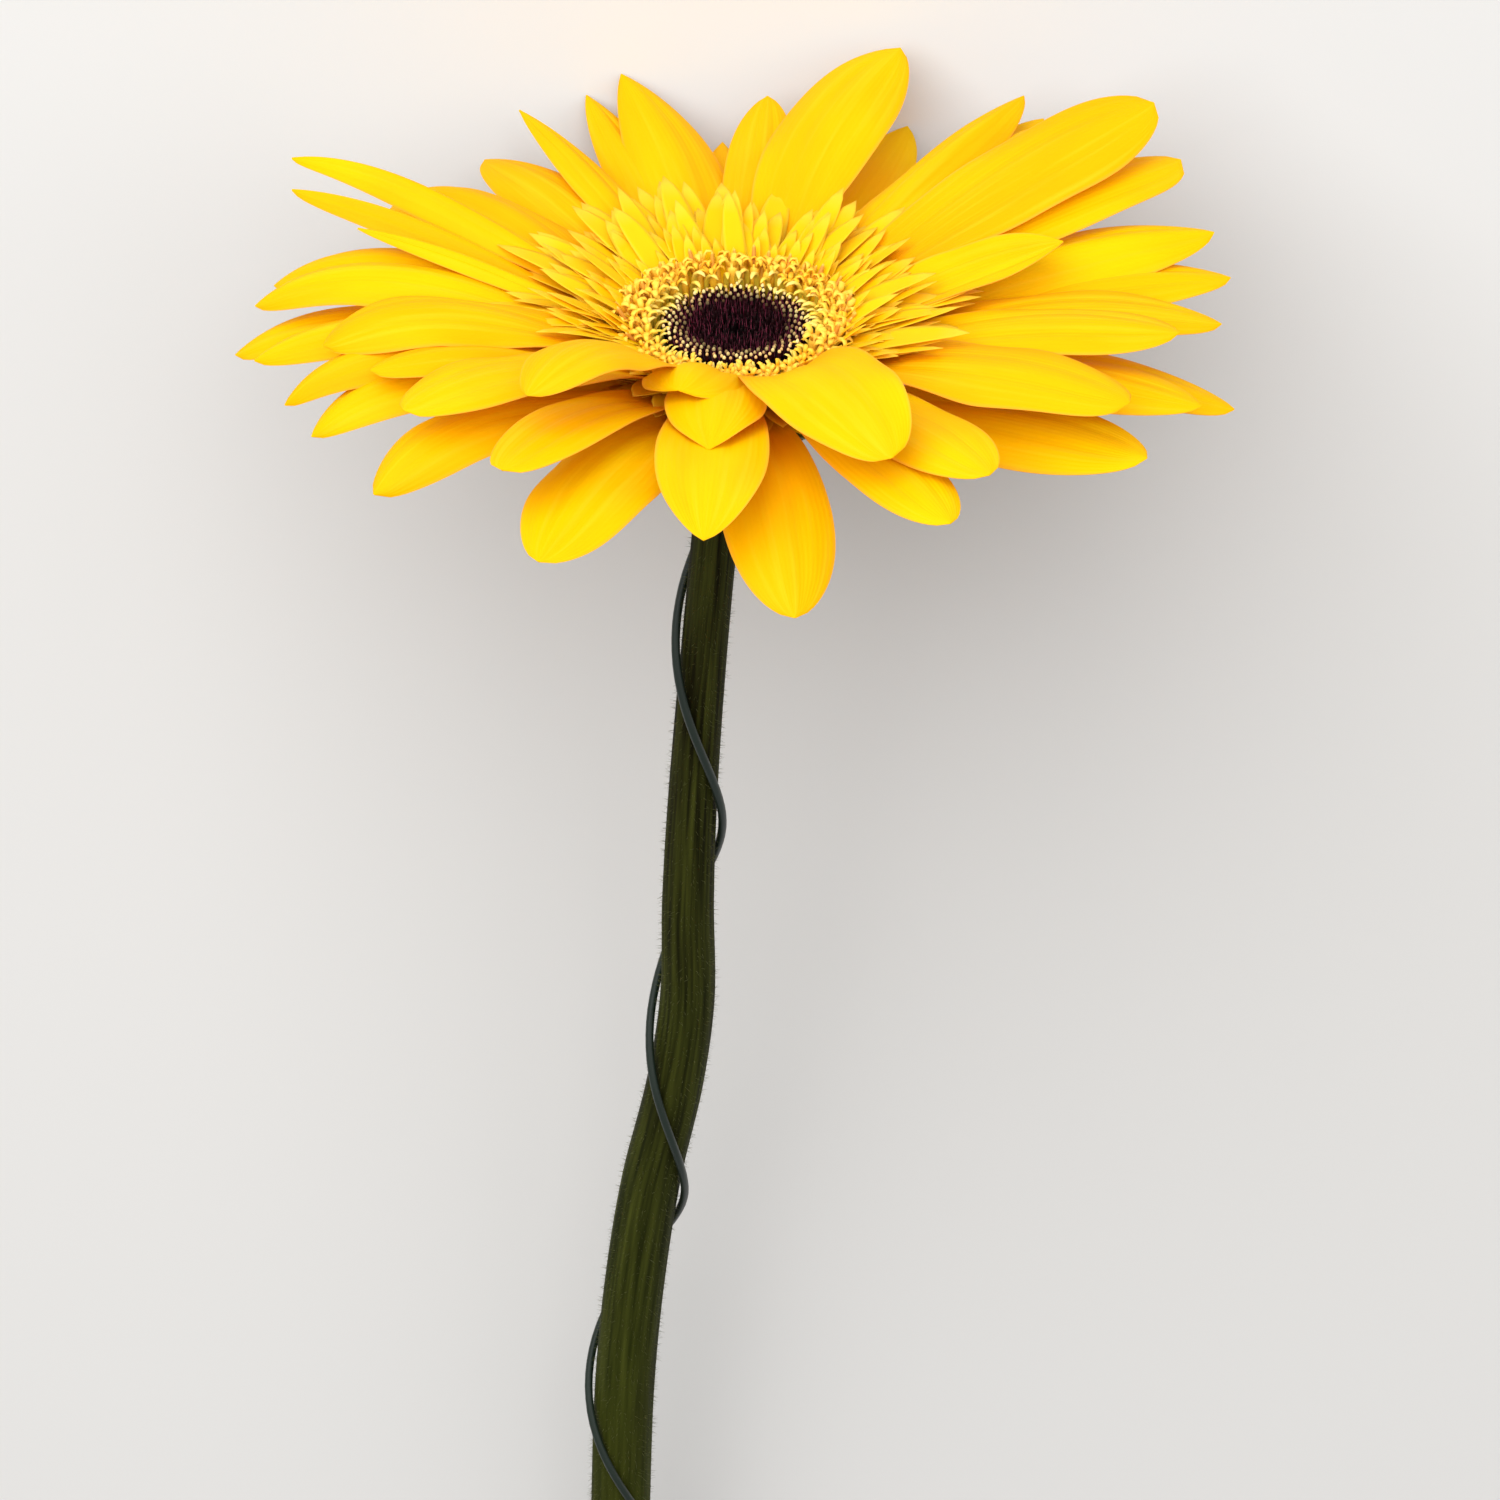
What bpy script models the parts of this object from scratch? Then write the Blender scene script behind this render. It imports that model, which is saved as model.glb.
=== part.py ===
"""A cut gerbera with a florist's wire wound round its stalk, lying on its cut end and its back petals.

Everything is modelled in the flower's own frame: the face looks along +Z, the stalk runs down -Z,
and compass angles turn from +X (0 degrees) to +Y (90 degrees, the side the flower lies on).
An empty then lays that frame down, face along +Y, with the surface it lies on at z = 0.
Sizes are in millimetres in this file and turned to metres as each mesh is made.
"""

import math

import bmesh
import bpy
from mathutils import Vector

MM = 0.001
GAP = 0.3  # clearance between neighbouring pieces

# The flower at rest.
HEAD_HEIGHT = 50.3  # from the surface up to the middle of the disc
HEAD_AT = (0.3, 138.4)  # places the middle of the whole flower's box over the origin
CUT_END = 297.0  # from the disc down to the cut end of the stalk

# The receptacle, the woody plate that carries every floret.
RIM_RADIUS = 10.7
RIM_TOP = -1.9
RIM_BOTTOM = -7.2
RIM_CHAMFER = 0.4
CONE_TOP = (8.9, -8.6)  # the underside is a cone down to the neck
NECK_TOP = (3.3, -14.2)
NECK_BOTTOM = -14.6

# The stalk thickens from its neck to its lower half and bows a little towards the surface.
STALK_TOP = GAP - NECK_BOTTOM
NECK_STALK_RADIUS = 2.6
LOWER_STALK_RADIUS = 3.75
THICKENS_FROM = 30.0
THICKENS_TO = 140.0
STALK_BOW = 4.0
STALK_STEP = 9.0  # between the rings of the stalk's skin
STALK_ROUTE = (  # distance below the disc, sideways drift
    (0, 0.0),
    (28, -2.6),
    (64, -5.3),
    (80, -6.0),
    (95, -6.2),
    (108, -7.8),
    (123, -10.8),
    (139, -13.0),
    (156, -14.5),
    (173, -15.2),
    (230, -16.5),
    (297, -16.0),
)

# The florist's wire: a left-handed helix that hugs the stalk.
WIRE_RADIUS = 0.5
WIRE_TOP = 15.6
WIRE_END = 252.0
WIRE_PITCH = 57.5
WIRE_IN_FRONT_AT = 54.5  # distance below the disc at which the wire first crosses the front
WIRE_POINTS_PER_TURN = 14
FRONT = 270  # the compass angle of the side that faces up once the flower lies down

# Ray florets. Each row sits on the rim at its own height, and the inner rows lie over the outer ones.
RAY_THICKNESS = 0.45
RAY_SEAT_WIDTH = 2.6
RAY_TIP_WIDTH = 0.8
RAY_WIDEST_AT = 0.6  # fraction of the length
RAY_STRAIGHT_SHARE = 0.15  # how much of the widening runs straight from the claw, the rest swells
RAY_TIP_SHAPE = (2.4, 0.62)  # how late and how roundly the blade closes to its tip
RAY_CHANNEL = 0.35  # depth of the channel at the claw, as a share of half the width
RAY_CHANNEL_FADES = 1.1  # per whole length
RAY_DOME = -0.2  # the outer half bulges instead
RAY_SEGMENTS = 8
RAY_STRIPS = 4
RAY_FINE_STEPS = 6  # steps along the rib for each segment
# seat and heading (compass degrees), length, width, lift of the tip, arch from seat to tip,
# sideways sweep, roll of the blade about its own rib
RAY_ROWS = (
    (-6.4, (
        (9, 12, 46, 9.0, 8, 35, 0, 5),
        (70, 68, 43.4, 10.0, 6, 20, 0, 0),
        (90, 93, 35, 8.0, 8, 20, 0, 0),
        (110, 109, 43.6, 7.0, 11, 14, -10, 0),
        (145, 142.5, 43.6, 9.0, -4.8, 95, 0, 0),
        (175, 177.6, 47.0, 9.5, 1.2, 66, 0, 0),
        (204, 201.2, 41.3, 9.0, 4.4, 83, 0, 0),
        (221, 217.7, 40.6, 9.5, 4.9, 76, 0, 0),
        (246, 245, 39, 12.5, 6, 50, 0, 0),
        (276, 278, 37, 12.0, -3, 60, 0, 0),
        (329, 332, 39, 12.0, 6, 20, 0, 8),
        (350, 350, 45, 10.0, 2, 45, 0, 0),
    )),
    (-5.1, (
        (17, 17, 46, 10.5, 10, 35, 0, 8),
        (50, 50, 45, 8.0, 11, 25, 0, 0),
        (108, 104, 43, 10.5, 13, 10, -30, 0),
        (126, 126, 40, 10.0, 6, 45, 0, 0),
        (143, 141.5, 46, 10.0, -1, 96, 0, 0),
        (162, 163.2, 46.3, 9.0, 1.3, 70, 0, 0),
        (181, 185.6, 43.8, 8.0, 4.3, 60, 0, 0),
        (197, 196.6, 43.1, 7.5, 4.8, 82, 0, 0),
        (236, 239, 37, 9.0, 17, 40, 0, 0),
        (262, 267, 36, 12.0, 10, 50, 0, 0),
        (298, 298, 37, 10.0, 9, 35, 0, 0),
        (341, 343, 42, 9.5, 6, 35, 0, 0),
        (359.5, 359.4, 43.5, 10.0, 7.8, 47, 0, 0),
    )),
    (-3.8, (
        (26, 28, 47, 11.0, 13, 30, 0, 8),
        (44, 44, 45, 9.0, 12, 25, 0, 0),
        (88, 85, 36, 8.0, 13, 10, 0, 0),
        (160, 161.7, 43.3, 4.8, 15.9, 30, 0, 0),
        (178, 174.9, 45.4, 9.5, 5.1, 74, 0, -5),
        (205, 203.2, 33.3, 6.8, 14.8, 44, 0, 0),
        (306, 307, 34, 11.0, 11, 35, 0, 0),
        (349.5, 348.5, 39, 10.6, 12.9, 36, 0, 0),
    )),
    (-2.5, (
        (14, 10, 27, 8.5, 20, 15, 0, 10),
        (34, 32, 47, 13.0, 18, 20, 0, 15),
        (53, 51, 43, 7.5, 12.6, 25, 0, 0),
        (69, 69, 43, 12.5, 16, 20, 35, 0),
        (118, 120, 41, 5.2, 8, 25, 0, 0),
        (152, 155.5, 46.4, 5.0, 13.6, 42, 0, 0),
        (172, 168, 33.2, 3.2, 18.3, 24, 0, 0),
        (194, 192.3, 37.4, 10.5, 9.4, 74, 0, 0),
        (216, 219.1, 35.1, 10.0, 13.9, 44, 0, 0),
        (236, 236.7, 33.5, 10.0, 25.0, 78, 0, 0),
        (262, 265, 26, 11.5, 20.5, 77, 0, 0),
        (292, 296, 32, 13.0, 15, 90, 0, 20),
        (330, 330, 38, 11.5, 11, 35, 0, 8),
    )),
)
# How late the rays that hook down at their tips bend; the others bend evenly.
RAY_LATE_BENDS = {
    5: 2.4, 6: 2.6, 7: 3.2, 8: 2.8, 17: 2.4, 18: 2.1, 19: 2.5, 20: 3.2,
    29: 2.4, 30: 2.4, 31: 2.8, 39: 3.0, 40: 1.6, 41: 3.0, 42: 2.2, 43: 2.0,
}

# Whorls of many small pieces, each made as one toothed collar: name, colour, number of teeth,
# foot radius, foot height, radius at the notches, radius at the tips, slope in degrees, and its slope
# and the share of its reach that it keeps behind the steep ray florets at the front.
COLLAR_THICKNESS = 0.35
STEEP_FRONT = 256  # the compass angle in the middle of the steep ray florets
COLLARS = (
    ("trans_florets_outer", "petal", 28, 10.1, -1.45, 18.5, 26.0, 30, 50, 0.36),
    ("trans_florets_middle", "petal", 26, 9.25, -1.45, 16.5, 21.5, 33, 50, 0.17),
    ("trans_florets_inner", "petal", 24, 8.4, -1.45, 14.2, 17.5, 37, 47, 0.16),
    ("inner_bracts", "bract", 20, 8.4, -9.75, 11.2, 14.5, 24, 24, 1),
    ("middle_bracts", "bract", 18, 6.7, -11.45, 9.4, 12.2, 24, 24, 1),
    ("outer_bracts", "bract", 16, 5.0, -13.15, 7.4, 9.6, 24, 24, 1),
)

# The disc: two turned rings, (radius, height) down the outer side and back up the inner one, and
# the dome of buds inside them, from its sunken middle out and down.
OPEN_FLORETS = ((12.2, 2.3), (10.4, 1.3), (7.65, -1.6), (7.1, -1.6), (9.5, 1.6), (10.8, 2.9))
OPENING_FLORETS = ((9.1, 1.5), (6.75, -1.6), (6.1, -1.6), (8.1, 1.0), (8.4, 1.9))
BUDS = ((0.0, -0.4), (4.0, 0.0), (6.6, 0.8), (7.5, 0.6), (5.7, -1.6), (0.0, -1.6))
TURNED_STEPS = 28
AXIS_MERGE = 0.00005  # metres

COLOURS = {  # base colour, roughness, metallic
    "petal": ((0.93, 0.62, 0.005), 0.55, 0.0),
    "cream": ((0.85, 0.60, 0.16), 0.6, 0.0),
    "lime": ((0.62, 0.60, 0.12), 0.6, 0.0),
    "burgundy": ((0.035, 0.004, 0.008), 0.6, 0.0),
    "bract": ((0.10, 0.13, 0.03), 0.7, 0.0),
    "stalk": ((0.10, 0.12, 0.03), 0.65, 0.0),
    "wire": ((0.008, 0.025, 0.014), 0.35, 0.0),
}


def clear_scene():
    for old in list(bpy.data.objects):
        bpy.data.objects.remove(old, do_unlink=True)


def material(name):
    colour, roughness, metallic = COLOURS[name]
    made = bpy.data.materials.get(name) or bpy.data.materials.new(name)
    made.use_nodes = True
    shader = made.node_tree.nodes["Principled BSDF"]
    shader.inputs["Base Color"].default_value = (*colour, 1.0)
    shader.inputs["Roughness"].default_value = roughness
    shader.inputs["Metallic"].default_value = metallic
    return made


def add_object(name, data, colour, parent):
    made = bpy.data.objects.new(name, data)
    made.data.materials.append(material(colour))
    made.parent = parent
    bpy.context.scene.collection.objects.link(made)
    return made


def mesh_from(name, points, faces):
    """A smooth mesh from points in millimetres and faces as lists of point numbers."""
    mesh = bpy.data.meshes.new(name)
    shape = bmesh.new()
    verts = [shape.verts.new(Vector(point) * MM) for point in points]
    for face in faces:
        shape.faces.new([verts[number] for number in face])
    shape.normal_update()
    shape.to_mesh(mesh)
    shape.free()
    mesh.shade_smooth()
    return mesh


def thicken(made, thickness):
    """Gives a sheet its wall, half on each side."""
    wall = made.modifiers.new("wall", "SOLIDIFY")
    wall.thickness = thickness * MM
    wall.offset = 0.0


def compass(radius, degrees, height=0.0):
    angle = math.radians(degrees)
    return Vector((radius * math.cos(angle), radius * math.sin(angle), height))


def ease(value):
    value = min(max(value, 0.0), 1.0)
    return value * value * (3 - 2 * value)


def ray_half_width(along, width):
    """Half the blade's width at a fraction of its length: a slender claw, a broad blade, a round tip."""
    half = width / 2
    if along <= RAY_WIDEST_AT:
        part = along / RAY_WIDEST_AT
        share = RAY_STRAIGHT_SHARE * part + (1 - RAY_STRAIGHT_SHARE) * ease(part)
        return RAY_SEAT_WIDTH / 2 + (half - RAY_SEAT_WIDTH / 2) * share
    part = (along - RAY_WIDEST_AT) / (1 - RAY_WIDEST_AT)
    lateness, roundness = RAY_TIP_SHAPE
    return max(half * (1 - part**lateness) ** roundness, RAY_TIP_WIDTH / 2)


def ray_cup(along):
    """Channelled at the seat, gently domed over the outer half."""
    return max(RAY_CHANNEL - RAY_CHANNEL_FADES * along, RAY_DOME)


def ray_directions(along, heading, lift, arch, sweep, roll, late):
    """The blade's forward, sideways and upward directions at a fraction of its length."""
    rise = math.radians(lift + arch * (1 / (1 + late) - along**late))
    turn = math.radians(heading + sweep * (0.5 - along))
    forward = Vector((math.cos(rise) * math.cos(turn), math.cos(rise) * math.sin(turn), math.sin(rise)))
    side = Vector((-math.sin(turn), math.cos(turn), 0.0))
    up = forward.cross(side)
    tilt = math.radians(roll) * along
    return forward, side * math.cos(tilt) + up * math.sin(tilt), up * math.cos(tilt) - side * math.sin(tilt)


def ray_seat(seat, seat_height, shape):
    """Where the claw starts, far enough out that its corners clear the rim as well as its middle does."""
    side, up = ray_directions(0.0, *shape)[1:]
    half = RAY_SEAT_WIDTH / 2
    depth = RAY_THICKNESS / 2 + half * ray_cup(0.0)
    outward = compass(1.0, seat)
    reach = half * abs(side.dot(outward)) + depth * abs(up.dot(outward))
    return compass(RIM_RADIUS + GAP + reach, seat, seat_height)


def ray_floret(number, seat_height, row, parent):
    seat, heading, length, width, lift, arch, sweep, roll = row
    shape = (heading, lift, arch, sweep, roll, RAY_LATE_BENDS.get(number, 1))
    steps = RAY_FINE_STEPS * RAY_SEGMENTS
    rib = ray_seat(seat, seat_height, shape)
    points = []
    for step in range(steps + 1):
        along = step / steps
        if step:
            rib = rib + ray_directions(along - 0.5 / steps, *shape)[0] * (length / steps)
        if step % RAY_FINE_STEPS:
            continue
        side, up = ray_directions(along, *shape)[1:]
        half = ray_half_width(along, width)
        for strip in range(RAY_STRIPS + 1):
            across = 2 * strip / RAY_STRIPS - 1
            points.append(rib + side * (half * across) + up * (half * ray_cup(along) * across**2))
    faces = []
    for segment in range(RAY_SEGMENTS):
        for strip in range(RAY_STRIPS):
            first = segment * (RAY_STRIPS + 1) + strip
            faces.append((first, first + RAY_STRIPS + 1, first + RAY_STRIPS + 2, first + 1))
    made = add_object(f"ray_floret_{number:02d}", mesh_from("ray floret", points, faces), "petal", parent)
    thicken(made, RAY_THICKNESS)


def toothed_collar(name, colour, teeth, foot, height, notch, tip, slope, front_slope, front_reach, parent):
    """A conical collar of pointed teeth, joined at the foot, and shorter and steeper at the front."""
    turn = 360 / teeth

    def on_cone(radius, angle):
        frontness = ease((math.cos(math.radians(angle - STEEP_FRONT)) - 0.26) / 0.45)
        reach = (radius - foot) * (1 - (1 - front_reach) * frontness)
        rise = math.tan(math.radians(slope + (front_slope - slope) * frontness))
        return compass(foot + reach, angle, height + reach * rise)

    points = [on_cone(radius, column * turn / 2) for radius in (foot, notch) for column in range(2 * teeth)]
    points += [on_cone(tip, (tooth + 0.5) * turn) for tooth in range(teeth)]
    faces = []
    around = 2 * teeth
    for column in range(around):
        after = (column + 1) % around
        faces.append((column, around + column, around + after, after))
    for tooth in range(teeth):
        left, middle = around + 2 * tooth, around + 2 * tooth + 1
        right = around + (2 * tooth + 2) % around
        point = 2 * around + tooth
        faces.append((left, point, middle))
        faces.append((middle, point, right))
    made = add_object(name, mesh_from(name, points, faces), colour, parent)
    thicken(made, COLLAR_THICKNESS)


def turned(name, colour, profile, parent, closed):
    """A profile of (radius, height) points turned about the flower's axis."""
    mesh = bpy.data.meshes.new(name)
    points = [Vector((radius, 0.0, height)) * MM for radius, height in profile]
    edges = [(number, number + 1) for number in range(len(points) - 1)]
    if closed:
        edges.append((len(points) - 1, 0))
    mesh.from_pydata(points, edges, [])
    made = add_object(name, mesh, colour, parent)
    screw = made.modifiers.new("turn", "SCREW")
    screw.steps = screw.render_steps = TURNED_STEPS
    screw.use_merge_vertices = not closed
    screw.merge_threshold = AXIS_MERGE
    screw.use_normal_calculate = False
    screw.use_smooth_shade = True


def tube(name, colour, points, radii, resolution, parent):
    """A round tube with closed ends along a list of points, with 4 + 2 x resolution sides."""
    curve = bpy.data.curves.new(name, "CURVE")
    curve.dimensions = "3D"
    curve.bevel_depth = MM
    curve.bevel_resolution = resolution
    curve.use_fill_caps = True
    line = curve.splines.new("POLY")
    line.points.add(len(points) - 1)
    for spot, point, radius in zip(line.points, points, radii):
        spot.co = (*(point * MM), 1.0)
        spot.radius = radius
    return add_object(name, curve, colour, parent)


def drift(below):
    """The stalk's sideways drift at a distance below the disc, smooth through the route's points."""
    legs = list(zip(STALK_ROUTE, STALK_ROUTE[1:]))
    slopes = [(there - here) / (end - start) for (start, here), (end, there) in legs]
    number = max(leg for leg in range(len(legs)) if legs[leg][0][0] <= below)
    (start, here), (end, there) = legs[number]
    leaving = (slopes[max(number - 1, 0)] + slopes[number]) / 2
    arriving = (slopes[number] + slopes[min(number + 1, len(slopes) - 1)]) / 2
    run = end - start
    part = (below - start) / run
    return (
        (2 * part**3 - 3 * part**2 + 1) * here
        + (part**3 - 2 * part**2 + part) * run * leaving
        + (3 * part**2 - 2 * part**3) * there
        + (part**3 - part**2) * run * arriving
    )


def stalk_centre(below):
    return Vector((drift(below), STALK_BOW * math.sin(math.pi * below / CUT_END), -below))


def stalk_radius(below):
    thicker = ease((below - THICKENS_FROM) / (THICKENS_TO - THICKENS_FROM))
    return NECK_STALK_RADIUS + (LOWER_STALK_RADIUS - NECK_STALK_RADIUS) * thicker


def flower_stalk(parent):
    count = round((CUT_END - STALK_TOP) / STALK_STEP)
    places = [STALK_TOP + (CUT_END - STALK_TOP) * number / count for number in range(count + 1)]
    points = [stalk_centre(below) for below in places]
    tube("flower_stalk", "stalk", points, [stalk_radius(below) for below in places], 5, parent)


def florists_wire(parent):
    count = round((WIRE_END - WIRE_TOP) / WIRE_PITCH * WIRE_POINTS_PER_TURN)
    points = []
    for number in range(count + 1):
        below = WIRE_TOP + (WIRE_END - WIRE_TOP) * number / count
        turn = FRONT + 360 * (below - WIRE_IN_FRONT_AT) / WIRE_PITCH
        points.append(stalk_centre(below) + compass(stalk_radius(below) + GAP + WIRE_RADIUS, turn))
    tube("florists_wire", "wire", points, [WIRE_RADIUS] * len(points), 2, parent)


def receptacle(parent):
    profile = (
        (0.0, RIM_TOP),
        (RIM_RADIUS - RIM_CHAMFER, RIM_TOP),
        (RIM_RADIUS, RIM_TOP - RIM_CHAMFER),
        (RIM_RADIUS, RIM_BOTTOM),
        CONE_TOP,
        NECK_TOP,
        (NECK_TOP[0] - RIM_CHAMFER, NECK_BOTTOM),
        (0.0, NECK_BOTTOM),
    )
    turned("receptacle", "bract", profile, parent, closed=False)


def laid_down():
    """The empty that lays the upright flower on its back petals and cut end."""
    lean = math.asin((HEAD_HEIGHT - LOWER_STALK_RADIUS) / CUT_END)
    frame = bpy.data.objects.new("flower_frame", None)
    frame.location = Vector((HEAD_AT[0], HEAD_AT[1], HEAD_HEIGHT)) * MM
    frame.rotation_euler = (lean - math.pi / 2, 0.0, 0.0)
    bpy.context.scene.collection.objects.link(frame)
    return frame


def build():
    clear_scene()
    frame = laid_down()
    flower_stalk(frame)
    florists_wire(frame)
    receptacle(frame)
    number = 0
    for seat_height, rows in RAY_ROWS:
        for row in rows:
            number += 1
            ray_floret(number, seat_height, row, frame)
    for name, colour, *sizes in COLLARS:
        toothed_collar(name, colour, *sizes, frame)
    turned("disc_florets_open", "cream", OPEN_FLORETS, frame, closed=True)
    turned("disc_florets_opening", "lime", OPENING_FLORETS, frame, closed=True)
    turned("disc_buds", "burgundy", BUDS, frame, closed=False)


build()
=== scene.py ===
import math

import bpy
import numpy as np
from mathutils import Matrix, Vector


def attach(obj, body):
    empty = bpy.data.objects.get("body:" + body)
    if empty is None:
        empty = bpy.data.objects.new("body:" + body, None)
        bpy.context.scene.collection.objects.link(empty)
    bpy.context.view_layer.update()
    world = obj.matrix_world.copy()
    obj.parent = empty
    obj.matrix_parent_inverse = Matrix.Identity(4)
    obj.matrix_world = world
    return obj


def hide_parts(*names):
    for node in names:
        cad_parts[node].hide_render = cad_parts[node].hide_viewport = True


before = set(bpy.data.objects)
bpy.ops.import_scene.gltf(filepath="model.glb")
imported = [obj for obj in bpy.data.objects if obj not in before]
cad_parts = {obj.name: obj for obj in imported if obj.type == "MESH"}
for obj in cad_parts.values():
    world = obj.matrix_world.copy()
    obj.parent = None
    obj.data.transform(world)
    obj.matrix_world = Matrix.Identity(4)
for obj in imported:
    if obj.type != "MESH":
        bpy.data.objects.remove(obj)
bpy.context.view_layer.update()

# ----------------------------------------------------------------------
# The stalk: one leafless gerbera scape, fleshy, faintly ribbed and densely set with short soft hairs.
# It runs from the neck under the head to a straight knife cut, and carries the head on its own.
# Sizes here and below are in millimetres in the flower's own frame: face up +Z, stalk down -Z.

HEAD_PLACE = Vector((0.3, 138.4, 50.3))  # the middle of the disc in the row frame
STALK_TOP = 14.9
CUT_END = 297.0
NECK_RADIUS = 2.6
NECK_END = 30.0
FULL_BELOW_NECK = 110.0
LOWER_RADIUS = 3.75
STALK_BOW = 4.0
# distance below the disc, sideways drift
STALK_ROUTE = np.array((
    (0, 0.0), (28, -2.6), (64, -5.3), (80, -6.0), (95, -6.2), (108, -7.8),
    (123, -10.8), (139, -13.0), (156, -14.5), (173, -15.2), (230, -16.5), (297, -16.0),
))
LEAN = math.asin((HEAD_PLACE.z - LOWER_RADIUS) / CUT_END)
MILLIMETRE = 0.001
FLOWER_TO_ROW = (
    Matrix.Scale(MILLIMETRE, 4) @ Matrix.Translation(HEAD_PLACE) @ Matrix.Rotation(LEAN - math.pi / 2, 4, "X")
)


def linear(hex_colour):
    """An sRGB hex colour as the linear RGBA that shaders take."""
    shares = [int(hex_colour[i : i + 2], 16) / 255 for i in (1, 3, 5)]
    return (*(s / 12.92 if s <= 0.04045 else ((s + 0.055) / 1.055) ** 2.4 for s in shares), 1.0)


def add(tree, kind, inputs=None, **settings):
    """Adds a node with its settings. Each input is a value, a hex colour, another node or its output."""
    made = tree.nodes.new(kind)
    for name, value in settings.items():
        setattr(made, name, value)
    for key, value in (inputs or {}).items():
        if isinstance(value, bpy.types.Node):
            value = next(output for output in value.outputs if output.enabled)
        if str(value).startswith("#"):
            value = linear(value)
        if isinstance(value, bpy.types.NodeSocket):
            tree.links.new(value, made.inputs[key])
        else:
            made.inputs[key].default_value = value
    return made


def new_material(name, *reads):
    """An empty material, its node tree, and the values at each point that it reads."""
    material = bpy.data.materials.new(name)
    material.use_nodes = True
    tree = material.node_tree
    tree.nodes.clear()
    values = [add(tree, "ShaderNodeAttribute", attribute_name=key).outputs["Fac"] for key in reads]
    return material, tree, *values


def mottled(tree, tones, scale, detail=2.0):
    """Noise all through a piece, and the colour that it moves between two tones."""
    place = add(tree, "ShaderNodeTexCoord").outputs["Object"]
    noise = add(tree, "ShaderNodeTexNoise", {"Vector": place, "Scale": scale, "Detail": detail})
    return noise, add(tree, "ShaderNodeMix", {0: noise, 6: tones[0], 7: tones[1]}, data_type="RGBA")


def streaky(tree, skin_uv, scale, detail):
    """Noise on the UV map, whose scale in each direction is in waves a millimetre."""
    place = add(tree, "ShaderNodeMapping", {"Vector": skin_uv, "Scale": (*scale, 1.0)})
    return add(tree, "ShaderNodeTexNoise", {"Vector": place, "Scale": 1.0, "Detail": detail})


def layered(tree, colour, layers):
    """Lays colours over one. A layer is a pattern, two of its values, the new colour's share at each of
    them, how it changes between them, and the new colour."""
    for pattern, low, high, first, last, ramp, tone in layers:
        share = add(
            tree, "ShaderNodeMapRange",
            {"Value": pattern, "From Min": low, "From Max": high, "To Min": first, "To Max": last},
            interpolation_type=ramp
        )
        colour = add(tree, "ShaderNodeMix", {0: share, 6: colour, 7: tone}, data_type="RGBA")
    return colour


def ease(share):
    share = np.clip(share, 0.0, 1.0)
    return share * share * (3 - 2 * share)


def compass(radius, degrees, height=0.0):
    angle = np.radians(degrees)
    return np.stack(np.broadcast_arrays(radius * np.cos(angle), radius * np.sin(angle), height), axis=-1)


def mesh_of(name, points, faces, attributes=None, uv=None):
    """A smooth mesh from points and faces, with values at each point and a UV map in millimetres."""
    mesh = bpy.data.meshes.new(name)
    mesh.from_pydata(np.asarray(points).tolist(), [], [tuple(map(int, face)) for face in faces])
    for key, values in (attributes or {}).items():
        layer = mesh.attributes.new(key, "FLOAT", "POINT")
        layer.data.foreach_set("value", np.asarray(values, np.float32).ravel())
    if uv is not None:
        corners = np.empty(len(mesh.loops), np.int32)
        mesh.loops.foreach_get("vertex_index", corners)
        layer = mesh.uv_layers.new(name="skin")
        layer.data.foreach_set("uv", np.asarray(uv, np.float32)[corners].ravel())
    mesh.shade_smooth()
    return mesh


def placed(name, mesh, material=None):
    """Turns a mesh in the flower's frame into a piece in the row's frame."""
    mesh.transform(FLOWER_TO_ROW)
    if material:
        mesh.materials.clear()
        mesh.materials.append(material)
    piece = bpy.data.objects.new(name, mesh)
    bpy.context.scene.collection.objects.link(piece)
    return piece


def loft(rings):
    """Quads and end caps over equal rings of points, each ring counter-clockwise seen from its far end."""
    count, around = rings.shape[:2]
    here = np.arange(around)
    after = (here + 1) % around
    strip = np.stack((here, after, around + after, around + here), axis=1)
    faces = np.concatenate([strip + ring * around for ring in range(count - 1)]).tolist()
    start, end, last = count * around, count * around + 1, (count - 1) * around
    faces += [(start, b, a) for a, b in zip(here, after)]
    faces += [(end, last + a, last + b) for a, b in zip(here, after)]
    points = np.concatenate((rings.reshape(-1, 3), [rings[0].mean(0)], [rings[-1].mean(0)]))
    return points, faces


def drift(below):
    """The stalk's sideways drift at distances below the disc, smooth through the route's points."""
    ends, places = STALK_ROUTE.T
    slopes = np.diff(places) / np.diff(ends)
    at_points = np.concatenate(([slopes[0]], (slopes[1:] + slopes[:-1]) / 2, [slopes[-1]]))
    leg = np.clip(np.searchsorted(ends, below, side="right") - 1, 0, len(slopes) - 1)
    run = ends[leg + 1] - ends[leg]
    part = (below - ends[leg]) / run
    return (
        (2 * part**3 - 3 * part**2 + 1) * places[leg]
        + (part**3 - 2 * part**2 + part) * run * at_points[leg]
        + (3 * part**2 - 2 * part**3) * places[leg + 1]
        + (part**3 - part**2) * run * at_points[leg + 1]
    )


def stalk_centre(below):
    return np.stack((drift(below), STALK_BOW * np.sin(np.pi * below / CUT_END), -below), axis=-1)


def stalk_radius(below):
    return NECK_RADIUS + (LOWER_RADIUS - NECK_RADIUS) * ease((below - NECK_END) / FULL_BELOW_NECK)


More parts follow.
